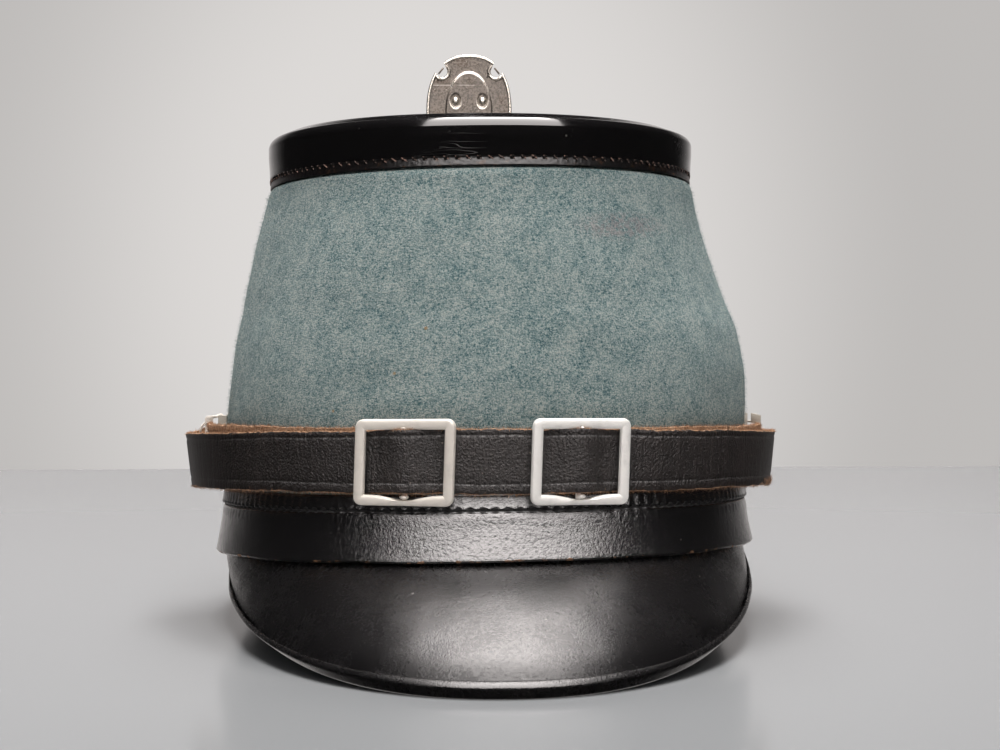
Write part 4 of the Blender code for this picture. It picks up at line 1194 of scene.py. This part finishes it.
def strap_section(half, crease):
    """Section of the strap as outward and up offsets, with its edge and flesh-side marks."""
    t = STRAP_THICK / 2.0
    top, low = half - CREASE_IN[0], -half + CREASE_IN[1]
    rows = [(-t, half - 0.5, 0.7, 1), (-t + 0.15, half - 0.12, 1, 0.6), (0.0, half, 1, 0.2),
            (t - 0.2, half - 0.1, 1, 0), (t, half - 0.45, 0.55, 0), (t, half - 1.2, 0.12, 0)]
    rows += crease_rows(t, top, crease)
    rows += [(t, level, 0, 0) for level in np.linspace(top - 0.8, low + 0.8, 9)]
    rows += crease_rows(t, low, crease)
    rows += [(t, low - 0.6, 0, 0), (t, -half + 1.6, 0.1, 0), (t, -half + 0.45, 0.5, 0),
             (t - 0.2, -half + 0.1, 1, 0), (0.0, -half, 1, 0.2), (-t + 0.15, -half + 0.12, 1, 0.6),
             (-t, -half + 0.5, 0.7, 1)]
    rows += [(-t, level, 0, 1) for level in np.linspace(-half + 2.5, half - 2.5, 5)]
    return np.array(rows).T


def make_strap(sizes, colours):
    """Buckled chin strap: two layers at the sides, looped through the side rings."""
    (left, left_rises), (right, right_rises) = half_strap(-1.0), half_strap(1.0)
    points = np.vstack((left[:0:-1], right))
    lifts = np.concatenate((left_rises[:0:-1], right_rises))
    run = unit(np.gradient(points, axis=0))
    distance = travel(points)
    waves = sum(tall * np.sin(distance * beat + start) for tall, beat, start in STRAP_WAVES)
    jag = np.random.default_rng(9).normal(size=(len(points), 2))
    jag[:, 0] = np.convolve(jag[:, 0], (0.3, 0.4, 0.3), "same")
    ragged = 0.12 + 0.50 * soft_step(70.0, 97.0, points[:, 0])
    grid, edges, flesh = [], [], []
    for index, (x, y) in enumerate(points):
        half = STRAP_HALF + (STRAP_END_HALF - STRAP_HALF) * min(1.0, abs(x) / STRAP_INNER[0])
        splay = math.copysign(max(0.0, abs(x) - SPLAY_FROM) / 20.0, x)
        out, up, edge, raw = strap_section(half, sizes.crease / MM)
        torn_end = up < -half + 1.7
        up = up + np.where(up < -half + 0.6, ragged[index] * jag[index, 0], 0.0)
        up = up + np.where(up > half - 0.6, 0.08 * jag[index, 1], 0.0)
        px, py = x + run[index, 1] * out, y - run[index, 0] * out
        pz = STRAP_LEVEL + rise(px, py, *STRAP_LEANS) + up + lifts[index] + waves[index]
        grid.append(place(px + splay * up / half, py, pz))
        edges.append(edge)
        flesh.append(raw)
    torn = soft_step(76.0, 97.0, points[:, 0])[:, None] * torn_end
    edges = np.maximum(edges, 0.8 * torn)
    glint = np.isin(np.arange(len(out)), CREASE_LIPS) * np.exp(-(points[:, 0] / 62.0) ** 2)[:, None]
    mesh = skin_mesh("strap_leather", np.array(grid), marks={
        "edge": edges, "flesh": np.array(flesh), "glint": glint, "shows": (edges > 0.6).astype(float)})
    add_piece("strap_leather", mesh, strap_finish(colours), "strap_leather", "chin_strap")
    fluff = fibre_finish("raw leather fluff", shaded(colours.flesh, 0.3), shaded(colours.flesh, 1.2))
    add_pattern("strap_fluff", linked("strap_host", mesh.copy()), fibre_tree(), fluff,
                "strap_leather", Density=4200000.0, Length=0.0010, Width=0.00008, Lift=1.0, Seed=sizes.seed + 5)


def buckle_frame(x):
    """Middle of a buckle lying on the strap's outer layer, and its way along, up and out."""
    wide = outer_half_wide(math.copysign(1.0, x))
    angle = math.asin(x / wide)
    y = -STRAP_OUTER_LONG * math.cos(angle)
    slope = math.atan2(STRAP_OUTER_LONG * math.sin(angle), wide * math.cos(angle))
    normal = np.array((math.sin(slope), -math.cos(slope), 0.0))
    along = unit(np.array((math.cos(slope), math.sin(slope), rise(0.0, math.sin(slope), STRAP_LEANS[0]))))
    middle = np.array((x, y, STRAP_LEVEL + rise(x, y, *STRAP_LEANS))) + normal * BUCKLE_OUT
    return middle, along, np.array((0.0, 0.0, 1.0)), normal


def rounded_loop(corners, radius, corner_steps, side_steps):
    """Closed path through rounded corners."""
    points = []
    for index, here in enumerate(corners):
        before, after = corners[index - 1], corners[(index + 1) % len(corners)]
        start = here + unit(before - here) * radius
        end = here + unit(after - here) * radius
        for part in np.linspace(0.0, 1.0, corner_steps + 1):
            points.append((1 - part) ** 2 * start + 2 * (1 - part) * part * here + part ** 2 * end)
        leave = after + unit(here - after) * radius
        points += [end + (leave - end) * part for part in np.linspace(0.0, 1.0, side_steps + 2)[1:-1]]
    return np.array(points)


def round_section(wide, deep, fullness, steps):
    across, along = oval_point(full_turn(steps), fullness)
    return place(across * wide, along * deep)


def make_buckle(name, x, finish):
    """Rounded rectangular frame with a centre bar behind the strap."""
    middle, along, up, normal = buckle_frame(x)
    reach = BUCKLE_TALL / 2.0
    lean, drop = BUCKLE_SHEAR[name]
    corners = []
    for a, b in ((-1, -1), (1, -1), (1, 1), (-1, 1)):
        corner = middle + along * a * BUCKLE_WIDE / 2.0 + up * b * reach
        corners.append(corner + along * b * lean * 0.5 - up * a * drop * 0.35 * (b < 0))
    path = rounded_loop(corners, BUCKLE_CORNER, 8, 14)
    a, b = (path - middle) @ along, (path - middle) @ up
    hollow = sum(deep * np.exp(-(a / spread) ** 2) * (b * end > 0) for end, deep, spread in BUCKLE_HOLLOWS)
    hollow = hollow * (np.abs(b) > BUCKLE_TALL * 0.4)
    section = round_section(BUCKLE_RAIL, BUCKLE_RAIL * BUCKLE_FLATNESS, 3.6, 24)
    sections = np.repeat(section[None], len(path), axis=0)
    sections[..., 0] += np.where(sections[..., 0] < 0.0, hollow[:, None], 0.0)
    mesh = tube_mesh(name + "_frame", path, sections, normal)
    bar = middle - normal * BAR_BACK
    turn = full_turn(20)
    profile = [(radius, -reach - past) for radius, past in BAR_PROFILE]
    profile += [(radius, reach + past) for radius, past in reversed(BAR_PROFILE)]
    bar_mesh = skin_mesh(name + "_bar", np.array([
        bar + along * (np.cos(turn) * radius)[:, None] + normal * (np.sin(turn) * radius)[:, None] + up * height
        + along * lean * 0.5 * height / reach for radius, height in profile]))

    def join(work):
        work.from_mesh(bar_mesh)
        for end, inward, radius in BUCKLE_KNOBS:
            at = Vector((middle + normal * 0.25 + up * end * (reach - inward) + HAT_MIDDLE) * MM)
            knob = bmesh.ops.create_uvsphere(work, u_segments=18, v_segments=10, radius=radius * MM)
            for vertex in knob["verts"]:
                x, y, z = vertex.co
                vertex.co = at + Vector((x * 1.2, y, z * 0.62))
        for face in work.faces:
            face.smooth = True

    edited(mesh, join)
    bpy.data.meshes.remove(bar_mesh)
    add_piece(name + "_frame", mesh, finish, "pale_metal", name)


def make_side_ring(word, side, finish):
    """Wire ring that holds the strap's loop, and the flat strip standing beside it."""
    level = STRAP_LEVEL + rise(side * STRAP_INNER[0], RING_PIN_Y, *STRAP_LEANS)
    corners, outline = (np.array([(side * out, y, level + up) for out, up in outlines[side]])
                        for outlines, y in ((RING_PATHS, RING_PIN_Y), (STRIPS, STRIP_Y)))
    name = "wire_ring_" + word
    section = round_section(RING_WIRE, RING_WIRE, 2.0, 14)
    mesh = tube_mesh(name, rounded_loop(corners, RING_CORNER, 7, 6), section, (0.0, 1.0, 0.0))
    depth = np.array((0.0, STRIP_THICK / 2.0, 0.0))
    strip = softened(skin_mesh("strip", np.stack((outline - depth, outline + depth))), "strip", STRIP_BEVEL)
    edited(mesh, lambda work: work.from_mesh(strip))
    bpy.data.meshes.remove(strip)
    add_piece(name, mesh, finish, "pale_metal", "side_ring_" + word)


def make_fittings(sizes, colours):
    """Two buckles, and the wire rings and folded plates at the sides."""
    finish = nickel_finish("pale satin nickel", colours.nickel)
    # The right buckle gets a lighter copy of the same plating: painted light, not a cleaner metal.
    lit = nickel_finish("clean satin nickel", colours.lit_nickel)
    dull = nickel_finish("dull side metal", colours.side_metal)
    for (word, _), x, metal in zip(SIDES, BUCKLE_X, (finish, lit)):
        make_buckle("buckle_" + word, x, metal)
    for (word, side), metal in zip(SIDES, (finish, dull)):
        make_side_ring(word, side, metal)
        add_refined("side_plate_" + word, "folded_plate_" + word, PLATE_BEVEL, dull, "pale_metal")


def badge_reach(turn):
    """Distance from the plate's middle to its outline, with the two notches cut in."""
    across, up = np.cos(turn), np.sin(turn)
    reach = (np.abs(across / BADGE_HALVES[0]) ** BADGE_FULLNESS
             + np.abs(up / BADGE_HALVES[1]) ** BADGE_FULLNESS) ** (-1.0 / BADGE_FULLNESS)
    for side in (1.0, -1.0):
        u, v = BADGE_NOTCH[0] * side, BADGE_NOTCH[1]
        forward = across * u + up * v
        aside = np.abs(across * v - up * u)
        cut = forward - np.sqrt(np.maximum(NOTCH_RADIUS ** 2 - aside ** 2, 0.0))
        reach = np.where((aside < NOTCH_RADIUS) & (forward > 0.0), np.minimum(reach, cut), reach)
    return reach


def bead(gap, wide, tall):
    """Height of a rounded bead that starts at no gap and is this wide."""
    return tall * np.sqrt(np.clip(1.0 - ((gap - wide / 2.0) / (wide / 2.0)) ** 2, 0.0, 1.0))


def badge_relief(u, v, outline_gap):
    """Height of the plate's near face, and where its metal is rubbed bright or a highlight is painted on."""
    wide, tall = BADGE_BEAD
    height = bead(outline_gap, wide, tall)
    upper_notch = np.zeros(height.shape, bool)
    for side in (1.0, -1.0):
        gap = np.hypot(u - BADGE_NOTCH[0] * side, v - BADGE_NOTCH[1]) - NOTCH_RADIUS
        height = np.maximum(height, bead(gap, wide, tall * 0.9))
        upper_notch |= (gap < wide) & (v > BADGE_NOTCH[1] - 0.3) & (outline_gap > 0.5)
    bright = np.clip(height / (tall * 0.5), 0.0, 1.0)
    arch = 1.0 - np.hypot(u / BADGE_ARCH[0], np.maximum(v - ARCH_FOOT, 0.0) / BADGE_ARCH[1])
    height = np.maximum(height, ARCH_PROUD * soft_step(0.0, 0.06, arch))
    # Painted highlight: the arch's bevel is lightened, more towards its top, where light from above would catch
    # it.
    bevel = soft_step(0.005, 0.02, arch) * soft_step(0.062, 0.042, arch) * soft_step(5.0, 14.0, v)
    bright = np.maximum(bright * np.where(upper_notch, 0.15, 1.0), bevel)
    over = v - (RIVET_LEVEL - BADGE_MIDDLE)
    below = soft_step(1.0, -2.0, over)
    for side in (1.0, -1.0):
        dip = np.hypot((u - RIVET_SPREAD * side) / DIMPLE[0], over / DIMPLE[1])
        ring = np.exp(-((dip - 1.02) / 0.12) ** 2)
        height = height - DIMPLE[2] * soft_step(1.0, 0.72, dip) + 0.12 * ring * below
        # Painted highlight: a bright crescent along the lower rim of each dimple.
        bright = np.maximum(bright, 0.9 * below * np.exp(-((dip - 0.92) / 0.14) ** 2))
    return height, bright


def make_badge(sizes, colours):
    """Oval plate with rolled rim, notches and a raised panel, its rivets, tabs and post."""
    finish = plate_finish(colours)
    turns = full_turn(540)
    reach = badge_reach(turns)
    face = BADGE_Y - BADGE_SHEET / 2.0
    shares = np.concatenate((np.linspace(0.01, 0.86, 56), np.linspace(0.87, 1.0, 26)))[:, None]
    u, v = shares * reach * np.cos(turns), shares * reach * np.sin(turns)
    front, bright = badge_relief(u, v, (1.0 - shares) * reach)
    near = place(BADGE_X + u, face - front + 0.15, BADGE_MIDDLE + v)
    shares = np.array((1.0, 0.98, 0.93, 0.8, 0.5, 0.2, 0.01))[:, None]
    u, v = shares * reach * np.cos(turns), shares * reach * np.sin(turns)
    back = place(BADGE_X + u, BADGE_Y + BADGE_SHEET / 2.0 - 0.25 * (shares == 1.0), BADGE_MIDDLE + v)
    mesh = skin_mesh("white_metal_plate", np.concatenate((near, back)),
                     marks={"rim": np.concatenate((bright, np.zeros(u.shape)))}, sharp=60.0)
    add_piece("white_metal_plate", mesh, finish, "plate_metal", "badge_plate")
    turn = full_turn(28)
    for word, side in SIDES:
        foot = np.array((BADGE_X + side * RIVET_SPREAD, face - 0.22, RIVET_LEVEL))
        rings = [foot + place(np.cos(turn) * radius, -height, np.sin(turn) * radius)
                 for radius, height in RIVET_PROFILE]
        mesh = skin_mesh("domed_rivet_" + word, np.array(rings), marks={"rim": 1.0})
        add_piece("domed_rivet_" + word, mesh, finish, "plate_metal", "badge_rivet_" + word)
    for word, _ in SIDES:
        add_refined("badge_tab_" + word, "notch_tab_" + word, TAB_BEVEL, finish, "plate_metal")
    add_refined("badge_post", "plate_post", POST_BEVEL, finish, "plate_metal")


# ---- stage ---------------------------------------------------------------------------------------
def add_sheet(name, corners, finish):
    """Flat sheet of the stage, which no gloss mirrors."""
    mesh = bpy.data.meshes.new(name)
    mesh.from_pydata(corners, [], [range(len(corners))])
    mesh.materials.append(finish)
    sheet = linked(name, mesh)
    sheet.visible_glossy = False
    return sheet


def studio_world():
    """Soft room light, and the overhead window fan that every gloss mirrors."""
    world = bpy.data.worlds.new("studio")
    bpy.context.scene.world = world
    world.use_nodes = True
    world.cycles.sampling_method = "NONE"
    world.node_tree.nodes.clear()
    desk = Desk(world.node_tree)
    way = desk.add("ShaderNodeTexCoord").outputs["Generated"]
    x, y, z = desk.split(desk.first("ShaderNodeVectorMath", {0: way, 1: TOWARDS_CAMERA}, operation="ADD"))
    turn = desk.math("ARCTAN2", x, desk.times(y, -1.0))
    climb = desk.math("ARCTAN2", z, desk.math("SQRT", desk.total((x, x), (y, y))))
    window = 1.0
    for angle, limits in ((turn, WINDOW_TURN), (climb, WINDOW_CLIMB)):
        low, high, soft = (math.radians(limit) for limit in (*limits, WINDOW_SOFT))
        window = desk.times(window, desk.span(angle, low - soft, low + soft),
                            desk.span(angle, high - soft, high + soft, 1.0, 0.0))
    low, high, dim, bright = WINDOW_FADE
    window = desk.times(window, desk.span(climb, math.radians(low), math.radians(high), dim, bright))
    aside, ahead, above = desk.split(way)
    aside = desk.math("ABSOLUTE", aside)
    glow = desk.times(desk.span(aside, 0.15, 0.72, 1.0, 0.0), desk.span(ahead, 0.1, 0.6),
                      desk.span(above, 0.16, 0.42, 1.0, 0.0))
    power = desk.total((window, WINDOW_STRENGTH), desk.total((glow, GLOW_STRENGTH), FAINT_SHINE))
    shine = desk.first("ShaderNodeVectorMath", {0: WINDOW_TONE, "Scale": power}, operation="SCALE")
    rays = desk.add("ShaderNodeLightPath").outputs
    soft = desk.mix(desk.span(ahead, -0.9, 0.6), ROOM_LIGHT, FAR_ROOM_LIGHT)
    soft = desk.mix(desk.span(aside, 0.15, 0.9, 0.0, SIDE_SHADE), soft, NO_LIGHT)
    room = desk.mix(rays["Is Diffuse Ray"], shine, soft)
    tone = desk.mix(rays["Is Camera Ray"], room, SEEN_ROOM)
    ground = desk.first("ShaderNodeBackground", {"Color": tone, "Strength": 1.0})
    desk.add("ShaderNodeOutputWorld", {0: ground})


def make_stage(sizes, colours):
    """Pale table with a soft shine, pale backdrop, overhead soft light, and the camera."""
    desk = Finish("pale table top", Roughness=0.16, Specular_IOR_Level=0.32)
    tone = desk.mix(desk.noise(desk.places, 3.0), colours.table, shaded(colours.table, 1.05))
    wide, near, far = 2.2, -1.8, 0.505
    add_sheet("table_top", ((-wide, near, 0.0), (wide, near, 0.0), (wide, far, 0.0), (-wide, far, 0.0)),
              desk.give(Base_Color=tone))

    # Painted light: the backdrop is no lamp but glows by emission, brightest behind the hat and dimmer towards
    # its edges.
    desk = Finish("glowing backdrop", Roughness=0.9, Specular_IOR_Level=0.0, Emission_Strength=1.0,
                  Base_Color=(*NO_LIGHT, 1.0))
    away = desk.reach(desk.stretch(desk.places, (1.0, 0.0, 0.8), place=(0.0, 0.0, -0.08)))
    tone = desk.mix(desk.span(away, 0.25, 0.78), colours.backdrop, shaded(colours.backdrop, 0.715))
    wide, depth, low, high = 4.0, 2.6, -2.0, 3.0
    backdrop = add_sheet("backdrop", ((-wide, depth, low), (wide, depth, low), (wide, depth, high),
                                      (-wide, depth, high)), desk.give(Emission_Color=tone))
    backdrop.visible_diffuse = False
    studio_world()

    data = bpy.data.lights.new("overhead_softbox", "AREA")
    data.shape = "RECTANGLE"
    data.size, data.size_y = SOFTBOX_SIZE
    data.energy = SOFTBOX_POWER
    softbox = linked("overhead_softbox", data)
    softbox.location = SOFTBOX_PLACE
    softbox.visible_glossy = False

    data = bpy.data.cameras.new("camera")
    data.lens = CAMERA_LENS
    data.sensor_width = 36.0
    data.clip_start, data.clip_end = 0.01, 20.0
    camera = linked("camera", data)
    camera.location = CAMERA_PLACE
    turn, dip = math.radians(CAMERA_TURN), math.radians(CAMERA_DIP)
    forward = Vector((math.sin(turn) * math.cos(dip), math.cos(turn) * math.cos(dip), -math.sin(dip)))
    camera.rotation_mode = "QUATERNION"
    camera.rotation_quaternion = forward.to_track_quat("-Z", "Y")
    bpy.context.scene.camera = camera
    bpy.context.scene.view_settings.view_transform = "Standard"


# ---- operators -----------------------------------------------------------------------------------
class ShakoOperator:
    """Runs an operator's builder with the sizes and colours of the scene."""

    bl_options = {"REGISTER"}

    def execute(self, context):
        self.build(context.scene.shako_sizes, context.scene.shako_colours)
        return {"FINISHED"}


class SHAKO_OT_stage(ShakoOperator, bpy.types.Operator):
    """Set up the table, the backdrop, the lights and the camera"""

    bl_idname = "shako.stage"
    bl_label = "Stage"
    build = staticmethod(make_stage)


class SHAKO_OT_felt(ShakoOperator, bpy.types.Operator):
    """Build the felt crown and its loose fibres"""

    bl_idname = "shako.felt"
    bl_label = "Felt crown"
    build = staticmethod(make_felt)


class SHAKO_OT_lid(ShakoOperator, bpy.types.Operator):
    """Build the lacquered lid and its stitches"""

    bl_idname = "shako.lid"
    bl_label = "Lid"
    build = staticmethod(make_lid)


class SHAKO_OT_band(ShakoOperator, bpy.types.Operator):
    """Build the leather band and its stitched seam"""

    bl_idname = "shako.band"
    bl_label = "Band"
    build = staticmethod(make_band)


class SHAKO_OT_peaks(ShakoOperator, bpy.types.Operator):
    """Build both peaks and their bindings"""

    bl_idname = "shako.peaks"
    bl_label = "Peaks"
    build = staticmethod(make_peaks)


class SHAKO_OT_strap(ShakoOperator, bpy.types.Operator):
    """Build the chin strap"""

    bl_idname = "shako.strap"
    bl_label = "Chin strap"
    build = staticmethod(make_strap)


class SHAKO_OT_fittings(ShakoOperator, bpy.types.Operator):
    """Build the buckles, the side rings and their plates"""

    bl_idname = "shako.fittings"
    bl_label = "Buckles and rings"
    build = staticmethod(make_fittings)


class SHAKO_OT_badge(ShakoOperator, bpy.types.Operator):
    """Build the badge plate with its rivets, tabs and post"""

    bl_idname = "shako.badge"
    bl_label = "Badge plate"
    build = staticmethod(make_badge)


OPERATORS = (SHAKO_OT_stage, SHAKO_OT_felt, SHAKO_OT_lid, SHAKO_OT_band, SHAKO_OT_peaks, SHAKO_OT_strap,
             SHAKO_OT_fittings, SHAKO_OT_badge)


class SHAKO_PT_panel(bpy.types.Panel):
    """Lists the hat's operators, sizes and colours"""

    bl_idname = "SHAKO_PT_panel"
    bl_label = "Shako Hat"
    bl_space_type = "VIEW_3D"
    bl_region_type = "UI"
    bl_category = "Shako"

    def draw(self, context):
        layout = self.layout
        for operator in OPERATORS:
            layout.operator(operator.bl_idname)
        for settings in (context.scene.shako_sizes, context.scene.shako_colours):
            box = layout.box()
            for key in settings.bl_rna.properties.keys():
                if key not in ("rna_type", "name"):
                    box.prop(settings, key)


CLASSES = (ShakoSizes, ShakoColours, *OPERATORS, SHAKO_PT_panel)


def register():
    for item in CLASSES:
        bpy.utils.register_class(item)
    bpy.types.Scene.shako_sizes = PointerProperty(type=ShakoSizes)
    bpy.types.Scene.shako_colours = PointerProperty(type=ShakoColours)


def unregister():
    del bpy.types.Scene.shako_colours
    del bpy.types.Scene.shako_sizes
    for item in reversed(CLASSES):
        bpy.utils.unregister_class(item)


def main():
    register()
    for operator in OPERATORS:
        group, name = operator.bl_idname.split(".")
        getattr(getattr(bpy.ops, group), name)()


if __name__ == "__main__":
    main()
